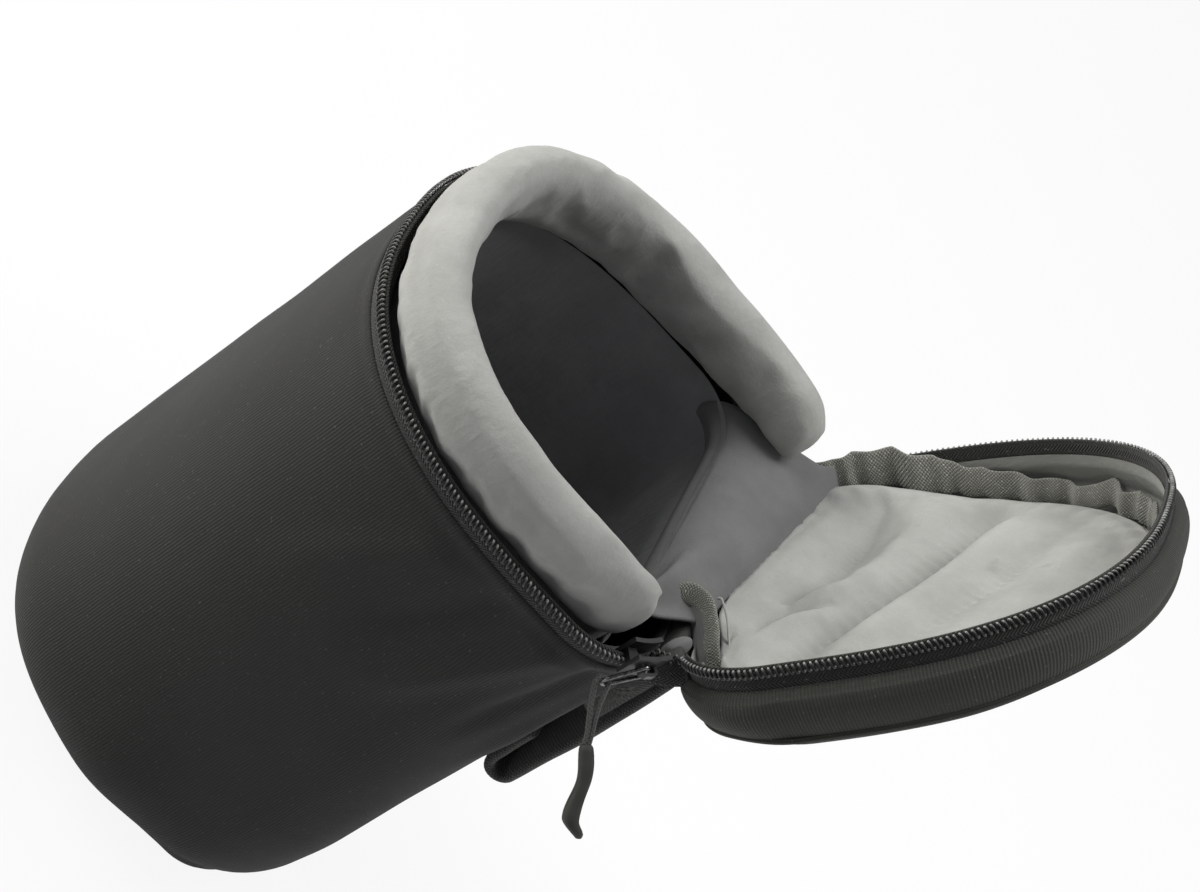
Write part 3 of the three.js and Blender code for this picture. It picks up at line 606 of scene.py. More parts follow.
def body_inset(z):
    z = np.asarray(z, float)
    drop = np.clip((ROUND_HEIGHT - z) / ROUND_HEIGHT, 0, 1)
    low = TAPER + ROUND_INSET * (1 - np.sqrt(np.maximum(0, 1 - drop * drop)))
    return np.where(z >= ROUND_HEIGHT, TAPER * (1 - (z - ROUND_HEIGHT) / (ZIP_Z - ROUND_HEIGHT)), low)


def away(run):
    """Distance along the outline from the middle of the back, negative on the -X side."""
    return np.mod(np.asarray(run, float) + LENGTH / 2, LENGTH) - LENGTH / 2


# Folds of the body's wall: place on the outline at z = 160, lean, width, size, heights of its ends
BODY_FOLDS = (
    (50, 0.10, 4.0, 1.3, 92, 158), (61, 0.22, 3.2, -1.3, 104, 160), (74, 0.34, 4.6, 1.4, 96, 160),
    (92, 0.34, 5.0, -1.1, 104, 160), (108, 0.5, 6.0, 0.9, 100, 156), (-52, -0.2, 5.0, 0.8, 100, 158),
    (-70, -0.3, 4.0, -0.8, 110, 160),
)


def body_shell():
    turn = np.linspace(math.pi / 2, 0, 16)
    z = np.r_[ROUND_HEIGHT * (1 - np.sin(turn)), np.linspace(ROUND_HEIGHT, SHELL_TOP, 72)[1:]]
    z[0] = 0.3
    inset = np.r_[19.6, body_inset(z), 0.5, 1.1, 1.15]
    z = np.r_[0.9, z, SHELL_TOP + 0.35, SHELL_TOP + 0.1, SHELL_TOP - 3]
    run = whole_run()
    R, Z = np.meshgrid(run, z)
    base = around(R, inset[:, None], Z)
    side = away(R)
    body = smooth(Z, 4, 22) * (1 - smooth(Z, 150, 160))
    push = 0.7 * wobble(base, 52, 3) * body + 0.3 * wobble(base, 20, 7) * body
    for place, lean, width, size, low, high in BODY_FOLDS:
        ends = smooth(Z, low, low + 30) * (1 - smooth(Z, high - 6, high))
        push += FOLD_GAIN * size * bump(side, place + lean * (160 - Z), width) * ends
    seam = 0.65 * bump(np.abs(side), 37.0, 0.9) - 0.35 * bump(np.abs(side), 34.6, 1.5)
    push += seam * smooth(Z, 20, 32) * (1 - smooth(Z, 157, 161))
    foot = (1 - smooth(Z, 14, 46)) * smooth(Z, 0.8, 7)
    push += foot * (2.2 * bump(side, 112, 16) - 3.4 * bump(side, 66, 20))
    push += 0.3 * bump(Z, SHELL_TOP - 1.2, 1.1) - 0.3 * bump(Z, SHELL_TOP - 3.6, 1.0)
    pts = around(R, inset[:, None] - push, Z)
    shell = grid("shell_cloth", pts, "shell", wrap_cols=True, u=np.r_[run, LENGTH])
    show(shell, "pouch", "body_nylon", "outer_shell", "wall_foam")
    rise = np.linspace(28, 156, 90)
    for name, place in (("seam_stitch_right", 34.4), ("seam_stitch_left", -34.4)):
        path, normals = seam_line(place + 0 * rise, body_inset(rise) + 0.2, rise)
        show(stitches(name, path, normals), "pouch", "body_nylon")


def base_cover():
    """Flat cloth under the pouch and the piping round it."""
    edge = around(whole_run(160), BASE_INSET, 0.0)
    pts = inward(edge, np.linspace(0, 0.985, 22))
    pts[..., 2] = 0.5
    cover = grid("base_cover", pts, "shell_base", wrap_cols=True, caps="last")
    flat_uv(cover, pts)
    show(cover, "pouch", "body_nylon", "base_panel")
    piping = tube("base_piping", around(whole_run(200), 18.0, 0.75), 0.7, "tab", closed=True, sides=10)
    show(piping, "pouch", "body_nylon")


def inner_bag():
    """Lining of the wall and floor, one skin that faces the inside, soft where the foam gives."""
    z = np.r_[np.linspace(161.3, 18, 52), 14, 11.4, 10.0, 9.4]
    inset = np.r_[np.full(52, LINING_INSET), 11.1, 12.2, 14.2, FLOOR_INSET]
    run = whole_run(200)
    R, Z = np.meshgrid(run, z)
    pts = around(R, inset[:, None], Z)
    soft = smooth(Z, 10, 30) * (1 - smooth(Z, 150, 160))
    push = (0.8 * wobble(pts, 34, 11) - 0.35) * soft
    pts = around(R, inset[:, None] - push * 0.8, Z)
    floor = inward(around(run, FLOOR_INSET, 0.0), np.linspace(0.08, 0.985, 18))
    floor[..., 2] = FLOOR_Z + 0.4 * wobble(floor, 24, 2)
    pts = np.concatenate([pts, floor])
    # The inside copy of the lining is a little darker: painted shade
    bag = grid("inner_bag", pts, "inside", wrap_cols=True, caps="last")
    show(bag, "pouch", "lining", "body_lining", "floor_lining", "base_foam")


def zip_tape(name, low, high, lip, body, node):
    """Thin closed band along the zip, with a lip inwards along the edge away from the coil."""
    run = zip_run(300)
    way = 1 if high > low else -1
    section = np.array([(0.5, low), (0.42, low + way * 2), (0.5, high - way * 0.3), (0.75, high),
                        (1.2, high), (1.42, high - way * 0.3), (1.5, low + way * 2.0),
                        (1.7, low + way * 1.2), (lip, low + way * 0.9), (lip, low)])
    inset, z = section.T
    pts = around(run, inset[:, None], z[:, None])
    if body == "lid":
        pts = opened(pts)
    v = np.r_[0, np.cumsum(np.hypot(np.diff(inset), np.diff(z)))]
    obj = grid(name, pts, "tape", wrap_rows=True, u=np.r_[run, run[-1]], v=np.r_[v, v[-1] + 5])
    show(obj, body, "zip_tape", node)


def zip_coil(name, centre, body, node):
    """One filament wound round the tape's edge."""
    start, stop = at_angle(ZIP_END), LENGTH - at_angle(ZIP_END)
    turns = int((stop - start) / COIL_PITCH)
    t = np.arange(turns * COIL_STEPS + 1) / COIL_STEPS
    phase = TAU * t
    run = start + t * COIL_PITCH + 0.22 * np.sin(phase)
    inset = -0.38 - 0.52 * squarish(np.cos(phase), 0.7)
    pts = around(run, inset, centre + 1.12 * squarish(np.sin(phase), 0.8))
    if body == "lid":
        pts = opened(pts)
    show(tube(name, pts, 0.29, "coil", sides=6, v=np.r_[t, t[-1]]), body, "zip_coil", node)


def collar():
    """Stuffed roll in the mouth, puckered where its cover is sewn down, rounded at both ends."""
    height, foot, middle, half, end = 26.0, 161.4, 10.5, 5.35, 15.5
    start, stop = at_angle(COLLAR_END) + 2.0, LENGTH - at_angle(COLLAR_END)
    ends = end * (1 - np.cos(np.linspace(0, math.pi / 2, 13)))
    run = np.r_[start + ends, np.linspace(start + end, stop - end, 250)[1:-1], (stop - ends)[::-1]]
    left = 1 - np.clip(np.minimum(run - start, stop - run) / end, 0, 1)
    ease = np.sqrt(np.clip(1 - left * left, 0, 1))[:, None]
    high, wide = 0.35 + 0.65 * ease, 0.2 + 0.8 * ease
    angle = TAU * np.arange(40) / 40
    side = squarish(np.cos(angle), 0.82)
    up = 0.5 + 0.5 * squarish(np.sin(angle), 0.78)
    inset = middle - half * wide * side * (0.86 + 0.14 * np.minimum(1, 2.2 * up))
    z = foot + height * up * high
    far = run[:, None]
    pts = around(far, inset, z)
    fold = 0.42 * wobble(pts, 15, 21) + 0.22 * wobble(pts, 6.5, 4)
    # The roll stands out further on the side away from the slider, and less where the slider runs
    spread = smooth(far, LENGTH * 0.38, LENGTH * 0.5) * (1 - smooth(far, LENGTH * 0.72, LENGTH * 0.82))
    spread = 4.3 + 0.8 * (spread - 4.2 * (1 - smooth(far, 76, 94)))
    fold = fold + spread * bump(z, 176.0, 8.5) * np.clip(side, 0, 1) * ease
    crumple = bump(far, LENGTH * 0.44, 13) * bump(z, 184, 7) * np.clip(0.4 - side, 0, 1)
    fold = fold + 0.9 * crumple * wobble(pts, 3.6, 15)
    radial = 0.3 * np.sin(far * TAU / 10.5 + 2.2 * np.sin(far / 31)) * (1 - up) ** 1.5
    crimp = 0
    for size, place, width in ((0.5, LENGTH * 0.63, 3), (0.4, LENGTH * 0.66, 2.2),
                               (0.45, LENGTH * 0.40, 4), (1.0, start + 12, 3.4), (0.5, start + 21, 3.0)):
        crimp = crimp + size * bump(far, place, width)
    push = (fold + radial - crimp * up - 0.25) * np.minimum(1, 0.3 + ease)
    pts = around(far, inset - push * side, z + push * (up - 0.5) * 2)
    pull_back = smooth(52 - (stop - run), 0, 52)[:, None]
    pts[..., 0] += 4.0 * pull_back
    pts[..., 1] += 16.0 * pull_back
    pts[..., 2] += 7.0 * pull_back * (1 - up)
    obj = grid("collar_cover", pts, "collar", wrap_cols=True, caps="first last")
    stuffed(obj, pinned_below=166.0)
    inside_zip(obj)
    bend(obj)
    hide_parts("padded_collar")


# ---- Lid, drawn shut and turned open ----

def lid_edge(angle, wall):
    r = LID_EDGE - wall
    a = np.radians(angle)
    return LID_EDGE - LID_BULGE - r * np.cos(a), EDGE_Z + r * np.sin(a)


def lid_sag(points):
    """The soft lid gives a little over its front end and over the corner by the slider."""
    x, y, z = points[..., 0], points[..., 1], points[..., 2]
    drop = 3.0 * smooth(-y, 28, 74) + 2.8 * smooth(x, 30, 52) * smooth(y, 6, 26)
    points[..., 2] = z - drop * smooth(z, LID_LOW + 4, RIM + LID_RISE)
    return points


def lid_wall():
    run = whole_run()
    inset, z = lid_edge(np.linspace(0, LID_SEAM, 14), 0)
    straight = np.linspace(LID_LOW, EDGE_Z, 8)[:-1]
    low_inset = np.interp(straight, [LID_LOW, EDGE_Z], [0.0, inset[0]])
    inset = np.r_[1.0, 0.95, 0.4, low_inset, inset][:, None]
    z = np.r_[LID_LOW + 2.5, LID_LOW + 0.05, LID_LOW - 0.3, straight, z][:, None]
    side = away(run)
    pts = around(run, inset, z)
    body = smooth(z, LID_LOW + 1, LID_LOW + 6)
    push = (0.6 * wobble(pts, 40, 31) + 0.25 * wobble(pts, 14, 9)) * body
    push += 0.35 * bump(z, LID_LOW + 0.6, 0.7) - 0.3 * bump(z, LID_LOW + 2.9, 0.9)
    push += 0.5 * bump(side, 70, 7) * body - 0.5 * bump(side, 83, 5) * body
    pts = around(run, inset - push, z)
    wall = grid("lid_wall", opened(lid_sag(pts)), "lid", wrap_cols=True, u=np.r_[run, LENGTH])
    show(wall, "lid", "lid_nylon", "lid_gusset")
    path, normals = seam_line(np.linspace(0, LENGTH, 420), -0.15, LID_LOW + 2.9)
    show(stitches("lid_stitch", opened(path), normals @ OPEN.T, sink=0.12), "lid", "lid_nylon")
    path = opened(lid_sag(around(whole_run(240), *lid_edge(LID_SEAM + 1.0, -0.35))))
    show(tube("lid_piping", path, 0.95, "lid", closed=True, sides=10), "lid", "lid_nylon")


def lid_top():
    run = whole_run(240)
    inset, z = lid_edge(np.linspace(LID_SEAM, 90, 16), 0.1)
    rings = around(run, inset[:, None], z[:, None])
    share = np.linspace(0.05, 0.985, 22)
    top = inward(around(run, inset[-1], 0.0), share)
    top[..., 2] = (RIM + LID_RISE - 0.1 + 1.6 * smooth(share, 0, 0.8))[:, None]
    pts = np.concatenate([rings, top])
    pts[..., 2] += 0.5 * wobble(pts, 42, 13) * smooth(pts[..., 2], RIM + LID_RISE - 9, RIM + LID_RISE)
    pts = lid_sag(pts)
    obj = grid("lid_top_cloth", opened(pts), "lid", wrap_cols=True, caps="last")
    flat_uv(obj, pts)
    show(obj, "lid", "lid_nylon", "lid_top_panel", "lid_foam")


def lid_side():
    """Grey band inside the lid's wall, a single cloth that faces the hollow."""
    run = whole_run(240)
    inset, z = lid_edge(np.linspace(16, 50, 10), 2.3)
    straight = np.linspace(LID_LOW - 2.4, z[0], 14)[:-1]
    low_inset = np.interp(straight, [LID_LOW - 2.4, LID_LOW + 0.6, z[0]], [1.75, 2.0, inset[0]])
    z, inset = np.r_[straight, z][:, None], np.r_[low_inset, inset][:, None]
    pts = around(run, inset, z)
    soft = smooth(z, LID_LOW, LID_LOW + 6)
    push = (0.5 * wobble(pts, 22, 17) + 0.3 * wobble(pts, 9, 3)) * soft
    pts = around(run, inset + 0.25 - push, z)
    # The side copy of the lining is a little darker: painted shade
    band = grid("lid_side_cloth", opened(pts), "side", wrap_cols=True, u=np.r_[run, LENGTH])
    show(band, "lid", "lining", "lid_side_lining")


# Creases of the pad, each through five places at x and y, with its depth and its width
CREASES = (
    ((49.0, 17.5), (27.0, 10.0), (-6.5, -10.0), (-40.0, -21.5), (-56.0, -28.5), 4.0, 6.0),
    ((26.0, 24.0), (8.0, 20.0), (-14.0, 13.0), (-34.0, 8.0), (-50.0, 6.0), 2.6, 5.5),
    ((40.0, -8.0), (20.0, -22.0), (-4.0, -36.0), (-24.0, -44.0), (-40.0, -50.0), 1.9, 6.5),
    ((30.0, 30.0), (20.0, 26.0), (14.0, 20.0), (10.0, 13.0), (8.0, 8.0), 2.4, 3.0),
    ((18.0, 31.0), (8.0, 26.0), (2.0, 20.0), (-2.0, 14.0), (-4.0, 10.0), 1.8, 3.0),
)


def crease_depth(xy):
    """How far the creases sink the pad at each place of its face."""
    total = np.zeros(xy.shape[:-1])
    for *line, depth, width in CREASES:
        p = spline([(x, y, 0) for x, y in line], 40)[:, :2]
        d = np.linalg.norm(xy[..., None, :] - p, axis=-1)
        near = d.argmin(axis=-1)
        d = d.min(axis=-1)
        fade = np.sin(math.pi * np.clip(0.12 + 0.76 * near / 39, 0, 1))
        groove = 1.15 * np.exp(-np.abs(1.25 * d / width) ** 1.15)
        groove -= 0.45 * bump(d, 1.9 * width, 0.9 * width)
        total += CREASE_GAIN * fade * depth * groove
    return total


def pad_edge_z(xy):
    """Height of the pad's sewn edge in the shut lid: it comes down to the rim towards the hinge."""
    left = np.interp(xy[..., 1], [-78, -53, -32, -16, -3, 8, 20, 30],
                     [186.5, 185, 183.5, 181, 177, 173.6, 171.6, 170.8])
    right = np.interp(xy[..., 1], [-78, -16, 3, 17, 30], [186.5, 186, 185, 181, 176])
    share = smooth(xy[..., 0], -40, 40)
    return left * (1 - share) + right * share


def pad_back(xy):
    """The pad's slanted face next to the hinge, and how far a place is in front of its crease."""
    x, y = xy[..., 0], xy[..., 1]
    front = 30.7 + 0.207 * x - y
    foot = 170.4 - 0.036 * x
    face = foot + 0.62 * np.maximum(front, 0) + 1.6 * (1 - np.exp(-np.maximum(-front, 0) / 1.5))
    return face + 1.0 * np.exp(-np.maximum(front, 0) / 1.6) * (front > 0), front


def lid_pad():
    run = whole_run(300)
    share = np.r_[np.linspace(0, 0.3, 22), np.linspace(0.3, 0.985, 44)[1:]][:, None]
    side = away(run)
    edge = around(run, 7.8 - 3.0 * (1 - smooth(np.abs(side), 20, 38)) + 2.6 * bump(side, 56, 14), 0.0)
    face = inward(edge, share[:, 0])
    pts = face.copy()
    climb = smooth(share, -0.12, 0.62) ** 0.9
    climb = (climb - climb[0]) / (1 - climb[0])
    puff = 0.9 * np.sin(math.pi * smooth(share, 0, 0.16))
    pucker = 0.5 * np.sin(run * TAU / 9.0 + 2.5 * np.sin(run / 23))
    fade = np.clip(1 - share / 0.22, 0, 1) * smooth(share, 0, 0.05)
    height = pad_edge_z(edge) * (1 - climb) + PAD_LOW * climb - puff - pucker * fade
    back, front = pad_back(face)
    gap = height - back
    height = back + 0.5 * (gap - np.sqrt(gap * gap + 5.0)) + 0.6
    height -= 0.9 * wobble(face, 30, 41) * smooth(share, 0.05, 0.3) + 0.25 * wobble(face, 9, 6)
    height += crease_depth(face[..., :2]) * smooth(share, 0.02, 0.2) * smooth(front, -2, 5)
    pts[..., 2] = height
    top, lip = around(run, 8.3, PAD_HIGH), around(run, 7.75, pad_edge_z(edge) + 1.2)
    pts = np.concatenate([top[None], lip[None], pts])
    obj = grid("pad_cover", opened(pts), "pad", wrap_cols=True, caps="last")
    flat_uv(obj, pts)
    show(obj, "lid", "lining", "lid_pad")


def binding():
    """Woven tape over the seam of side and pad, gathered in waves, down to the rim at its ends."""
    run = zip_run(420, BINDING_END)
    ease = smooth(np.minimum(run - run[0], run[-1] - run), 0, 12)
    height = 6.6 + 0.7 * np.sin(run / 7.7)
    edge = pad_edge_z(around(run, 7.8, 0.0))
    folds = np.abs(np.sin(run * math.pi / 15 + 1.1 * np.sin(run / 13))) - 0.6
    scallop = (1.3 * folds + 0.7 * np.sin(run * TAU / 31 + 1)) * ease
    far = smooth(LENGTH - run, 96, 118)
    low = np.maximum(edge - height + 1.9 + scallop, LID_LOW - 4.5)
    raised = np.interp(LENGTH - run, [53, 60, 68, 80, 90, 100, 114],
                       [167.0, 165.6, 164.8, 165.0, 167.2, 170.2, 173.0])
    low = low * far + (1 - far) * (raised + 0.6 * scallop)
    height = height * far + (1 - far) * (edge + 1.6 - low)
    over = np.maximum(low + height / 2 - EDGE_Z, 0)
    edge_inset = LID_EDGE - LID_BULGE - np.sqrt(np.maximum(0, (LID_EDGE - 2.4) ** 2 - over ** 2))
    wave = 0.9 * np.sin(run * TAU / 19 + 2 * np.sin(run / 23))
    wave += 0.5 * np.sin(run * TAU / 8.3 + np.sin(run / 5))
    centre = np.maximum(edge_inset, 2.1) + 2.4 + (wave + 0.8 * folds) * (0.35 + 0.65 * ease)
    across = np.linspace(-1, 1, 15)[:, None]
    outer = centre + 0.45 + 0.55 * (1 - across ** 2) + 1.1 * across
    z = low + height * (across + 1) / 2
    pts = np.concatenate([around(run, outer, z), around(run, outer - 0.75, z)[::-1]])
    across = across[:, 0]
    v = np.r_[across * 3.3, 3.9, 3.9 + (across + 1) * 3.3]
    obj = grid("binding_tape", opened(pts), "binding", wrap_rows=True,
               u=np.r_[run, run[-1]], v=np.r_[v, v[-1] + 0.6])
    show(obj, "lid", "binding", "lid_binding")
    edge = around(run, centre + 1.2, low + height - 1.0)
    normals = unit((edge - around(run, centre, low + height - 1.0)) @ OPEN.T)
    thread = stitches("binding_stitch", opened(edge), normals, length=2.2, gap=1.0)
    show(thread, "lid", "binding")


# ---- Cloth across the hinge ----

def hinge_cloth(name, keys, mat, soft, seed):
    """A cloth through rows of points from the body to the lid."""
    rows, keys = 48, np.array(keys)
    pts = spline(keys.reshape(len(keys), -1), rows).reshape(rows, -1, 3)
    share = np.linspace(0, 1, rows)[:, None]
    waves = wobble(pts, 17, seed) + 0.5 * wobble(pts, 7, seed + 2)
    pts[..., 2] += soft * waves * np.sin(math.pi * share)
    obj = grid(name, pts, mat)
    thicken(obj, 0.9)
    return obj


def hinge_lining():
    """Lining from inside the back wall over the hinge, askew, to the crease where the pad begins."""
    t = np.linspace(0, 1, 90)
    first = -52 + 96 * t

    def row(shift, y, z):
        x = first - shift
        return np.stack([x, np.broadcast_to(y(x), x.shape), np.broadcast_to(z(x), x.shape)], axis=1)

    def inner(x):
        return 34.3 - 0.27 * x

    def outer(x):
        return 46.7 - 0.232 * x

    def wall(x):
        past = np.minimum(np.maximum(np.abs(x) - CORNER_X, 0), 15.5)
        return SIDE_STRAIGHT + np.sqrt((CORNER_RADIUS - LINING_INSET) ** 2 - past ** 2)

    keys = [row(0, lambda x: wall(x) + 1.2, lambda x: 152 + 0 * x),
            row(0, lambda x: wall(x) - 0.5, lambda x: 157 + 0 * x),
            row(0, lambda x: wall(x) + 0.9 + 0.25 * (inner(x) - 28.2) * (x < CORNER_X),
                lambda x: 163.5 + 0 * x),
            row(2, inner, lambda x: 168.0 - 3.0 * smooth(x, 22, 38)),
            row(7, lambda x: 0.5 * (inner(x) + outer(x)), lambda x: 168.9 - 3.5 * smooth(x, 20, 34)),
            row(12, outer, lambda x: 168.2 + 0.02 * x),
            row(13, lambda x: outer(x) + 3.2, lambda x: 164.8 + 0.02 * x)]
    # The hinge copy of the lining is much darker: painted shade
    obj = hinge_cloth("hinge_lining_cloth", keys, "hinge", 0.7, 50)
    bend(obj)
    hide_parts("hinge_lining")


def hinge_outside():
    """Outer cloth from the shell over the hinge to the lid's wall."""
    run = np.linspace(-at_angle(ZIP_END) - 1.0, at_angle(ZIP_END) + 1.0, 100)
    keys = [around(run, i, z) for i, z in ((0.6, 158.5), (-0.35, 160.6), (-0.45, 162.8))]
    keys += [opened(around(run, i, z))
             for i, z in ((-0.3, 170.3), (-0.35, 174), (-0.4, 177.6), (-0.2, 179.5))]
    obj = hinge_cloth("hinge_outer_cloth", keys, "lid", 0.25, 60)
    bend(obj)
    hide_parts("hinge_strip", "hinge_panel", "lid_hinge_panel")


CORNER_VIEW = (0.78, -0.23, 0.58)


def binding_end():
    """Rolled end of the binding by the slider, the lining behind it and the edge above."""
    path = spline([(26.2, 32.2, 166.8), (25.7, 34.0, 168.6), (26.1, 36.2, 170.6), (28.5, 38.6, 172.6),
                   (32.0, 40.6, 173.5), (35.5, 42.6, 173.5), (39.2, 44.8, 173.0), (41.6, 47.4, 172.0),
                   (42.9, 49.8, 170.8)], 60)
    path += 0.25 * np.stack([wobble(path, 5, k) for k in (1, 2, 3)], axis=1)
    run = np.linspace(0, 1, 60)
    wide = 2.6 + 0.25 * np.sin(run * 9) - 0.5 * bump(run, 0, 0.1)
    band = tube("binding_end", path, 0.75, "binding", thick=wide, sides=20, up=CORNER_VIEW, power=0.75)
    bend(band)
    share = np.linspace(0, 1, 9)[:, None, None]
    sag = np.sin(share * math.pi) * np.array([0.5, -0.4, 0.0])
    # The web takes the darker hinge copy of the lining: painted shade
    web = grid("lining_web", path[None] + share * np.array([0.0, 0.8, -6.8]) + sag, "hinge")
    thicken(web, 0.8)
    bend(web)
    line = spline([(24.4, 40.0, 173.6), (24.7, 40.8, 174.5), (28.2, 43.8, 174.8), (31.2, 46.0, 174.6),
                   (38.0, 50.1, 174.0), (42.0, 52.6, 173.0)], 40)
    show(tube("lining_edge", line, 0.34, "collar", sides=8), "lid", "lining")


def lining_tuck():
    """Padded fold of lining beside the slider."""
    tuck = spline([(37.4, 40.9, 166.4), (39.6, 40.2, 166.7), (42.0, 39.0, 166.2),
                   (44.4, 37.4, 165.4)], 26)
    round_off = np.sqrt(np.clip(1 - np.linspace(-1, 1, 26) ** 2, 0.02, 1))
    # The tuck takes the darker hinge copy of the lining: painted shade
    roll = tube("lining_tuck", tuck, 3.9 * round_off, "hinge", thick=2.3 * round_off, sides=18)
    bend(roll)


def zip_tail():
    """Free end of the zip behind the slider: its tape and five turns of coil."""
    top = spline([(50.4, 39.9, 173.2), (51.4, 37.4, 171.4), (52.2, 34.9, 170.3),
                  (52.9, 32.6, 169.9)], 24)
    low = spline([(51.2, 46.2, 170.4), (52.8, 42.4, 166.0), (53.9, 38.6, 163.4),
                  (54.3, 35.2, 162.2)], 24)
    share = np.linspace(0, 1, 12)[:, None, None]
    cloth = top[None] * (1 - share) + low[None] * share
    cloth[..., 0] += 0.5 * np.sin(share[..., 0] * math.pi)
    tail = grid("zip_tail", cloth, "tape")
    thicken(tail, 0.8)
    bend(tail)
    t = np.arange(5 * COIL_STEPS + 1) / COIL_STEPS
    run = np.linspace(0.0, 0.95, len(t)) * (len(top) - 1)
    spine = np.stack([np.interp(run, range(len(top)), top[:, k]) for k in range(3)], axis=1)
    a, b = frames(spine, CORNER_VIEW)
    wire = spine + a * (0.75 * np.cos(TAU * t))[:, None] + b * (1.0 * np.sin(TAU * t))[:, None]
    end = tube("zip_tail_coil", wire, 0.27, "coil", sides=6, v=np.r_[t, t[-1]])
    bend(end)


# ---- Slider, wire, cord and grip ----

SLIDER_TURN = np.array(Matrix.Rotation(math.radians(50), 3, "Z"))
SLIDER_AT = np.array([CORNER_X, SIDE_STRAIGHT, PARTING])
PLATE_OUT = 29.9
LEAN = math.radians(35)
WIRE_WAY = np.array([0, -math.cos(LEAN), -math.sin(LEAN)])
WIRE_ACROSS = np.array([0, -math.sin(LEAN), math.cos(LEAN)])
WIRE_ROOT = np.array([PLATE_OUT + 0.85, 0, 0])
WIRE_LENGTH, WIRE_HALF, WIRE_RADIUS, TIP_RADIUS = 11.5, 3.2, 0.5, 2.3
GRIP_LENGTH = 22.6
CORD_WAY, GRIP_WAY = np.array([0.614, 0.466, -0.635]), np.array([0.574, 0.634, -0.518])


def to_world(points):
    return np.asarray(points) @ SLIDER_TURN.T + SLIDER_AT


def wire_point(along, across):
    return WIRE_ROOT + WIRE_WAY * along + WIRE_ACROSS * across


CORD_AXIS, GRIP_AXIS = unit(CORD_WAY) @ SLIDER_TURN, unit(GRIP_WAY) @ SLIDER_TURN
CORD_LENGTH, CORD_REACH = 16.2, WIRE_RADIUS + 0.45 + 0.65
WIRE_TIP = wire_point(WIRE_LENGTH, 0)
GRIP_WIDE = unit(WIRE_ACROSS - GRIP_AXIS * WIRE_ACROSS.dot(GRIP_AXIS))
GRIP_THICK = np.cross(GRIP_AXIS, GRIP_WIDE)


def slider():
    """Finish of the slider: the solid itself, painted and with softened edges."""
    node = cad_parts["slider_body"]
    node.data.materials.clear()
    node.data.materials.append(M["slider"])
    edge = node.modifiers.new("edge", "BEVEL")
    edge.width, edge.segments = 0.28 * MM, 3
    edge.limit_method, edge.angle_limit = "ANGLE", math.radians(35)
    node.modifiers.new("normals", "WEIGHTED_NORMAL")


def wire():
    """Wire loop on the slider, with a small bend at each foot and a round tip."""
    bend_radius, tip = 1.0, WIRE_LENGTH - TIP_RADIUS
    bends = [(bend_radius * (1 - math.cos(a)), WIRE_HALF - bend_radius + bend_radius * math.sin(a))
             for a in np.linspace(0, math.pi / 2, 8)]
    line = [wire_point(along, across) for along, across in bends]
    line += [wire_point(tip + TIP_RADIUS * math.sin(a), TIP_RADIUS * math.cos(a))
             for a in np.linspace(0, math.pi, 22)]
    line += [wire_point(along, -across) for along, across in bends[::-1]]
    loop = tube("wire_loop", to_world(line), WIRE_RADIUS, "wire", closed=True, sides=16)
    show(loop, "wire", "wire_metal", "pull_wire")


def cord():
    """Cord round the tip of the wire; both legs come together towards the grip and sag a little."""
    pinched, sag = 0.72, 1.4
    side = unit(np.cross(WIRE_ACROSS, CORD_AXIS))
    square = np.cross(side, WIRE_ACROSS)
    leg, out = CORD_AXIS * CORD_LENGTH, side * CORD_REACH
    line = [WIRE_TIP + leg * (1 - k / 6) + out for k in range(6)]
    line += [WIRE_TIP - square * CORD_REACH * math.sin(a) + out * math.cos(a)
             for a in np.linspace(0, math.pi, 20)]
    line += [WIRE_TIP + leg * (k / 6) - out for k in range(1, 7)]
    line = np.array(line)
    pinch = smooth(np.abs((line - WIRE_TIP) @ CORD_AXIS), 0.5, CORD_LENGTH)
    line -= side * ((line - WIRE_TIP) @ side * pinched * np.sqrt(pinch))[:, None]
    drop = (line - WIRE_TIP) @ CORD_AXIS / CORD_LENGTH
    line -= GRIP_THICK * (sag * smooth(drop, 0.2, 1.0))[:, None]
    loop = tube("cord_loop", to_world(spline(line, 90)), 0.78, "cord", thick=0.5, sides=10)
    show(loop, "pull", "tab_nylon", "pull_cord")


def grip():
    """Moulded grip on the cord: a bent, rounded bar with two grooves, dished faces, a narrowed end."""
    half_wide, half_thick, square = 2.15, 1.95, 0.72
    start = WIRE_TIP + CORD_AXIS * (CORD_LENGTH + 0.1) - GRIP_AXIS * 0.6
    share = np.r_[0, 0.004, 0.02, np.linspace(0.05, 0.95, 40), 0.975, 0.99, 1.0]
    size = np.interp(share,
                     [0, 0.02, 0.05, 0.1, 0.2, 0.3, 0.4, 0.5, 0.6, 0.7, 0.8, 0.9, 0.95, 0.99, 1.0],
                     [0.7, 0.84, 0.92, 1, 1, 0.98, 0.97, 1, 1.07, 1.12, 1.09, 0.93, 0.74, 0.42, 0.25])
    waist = 1 - 0.05 * bump(share, 0.085, 0.012) - 0.05 * bump(share, 0.13, 0.012)
    curve = 1.7 * smooth(share, 0.35, 0.8) - 2.4 * smooth(share, 0.8, 1.0)
    curve -= 0.6 * bump(share, 0.28, 0.2) + 1.4
    line = start + np.outer(share * GRIP_LENGTH, GRIP_AXIS) + np.outer(curve, GRIP_THICK)
    a = TAU * np.arange(28) / 28
    c, s = squarish(np.cos(a), square), squarish(np.sin(a), square)
    dish = 1 - 0.10 * bump(share, 0.5, 0.22)[:, None] * (np.abs(s) ** 6)[None, :]
    pts = (line[:, None, :] + (half_wide * size * waist)[:, None, None] * c[None, :, None] * GRIP_WIDE
           + ((half_thick * size * waist)[:, None] * s * dish)[..., None] * GRIP_THICK)
    bar = grid("moulded_grip", to_world(pts), "rubber", wrap_cols=True, caps="first last")
    show(bar, "pull", "grip_rubber", "pull_grip")


# ---- Tab on the back ----

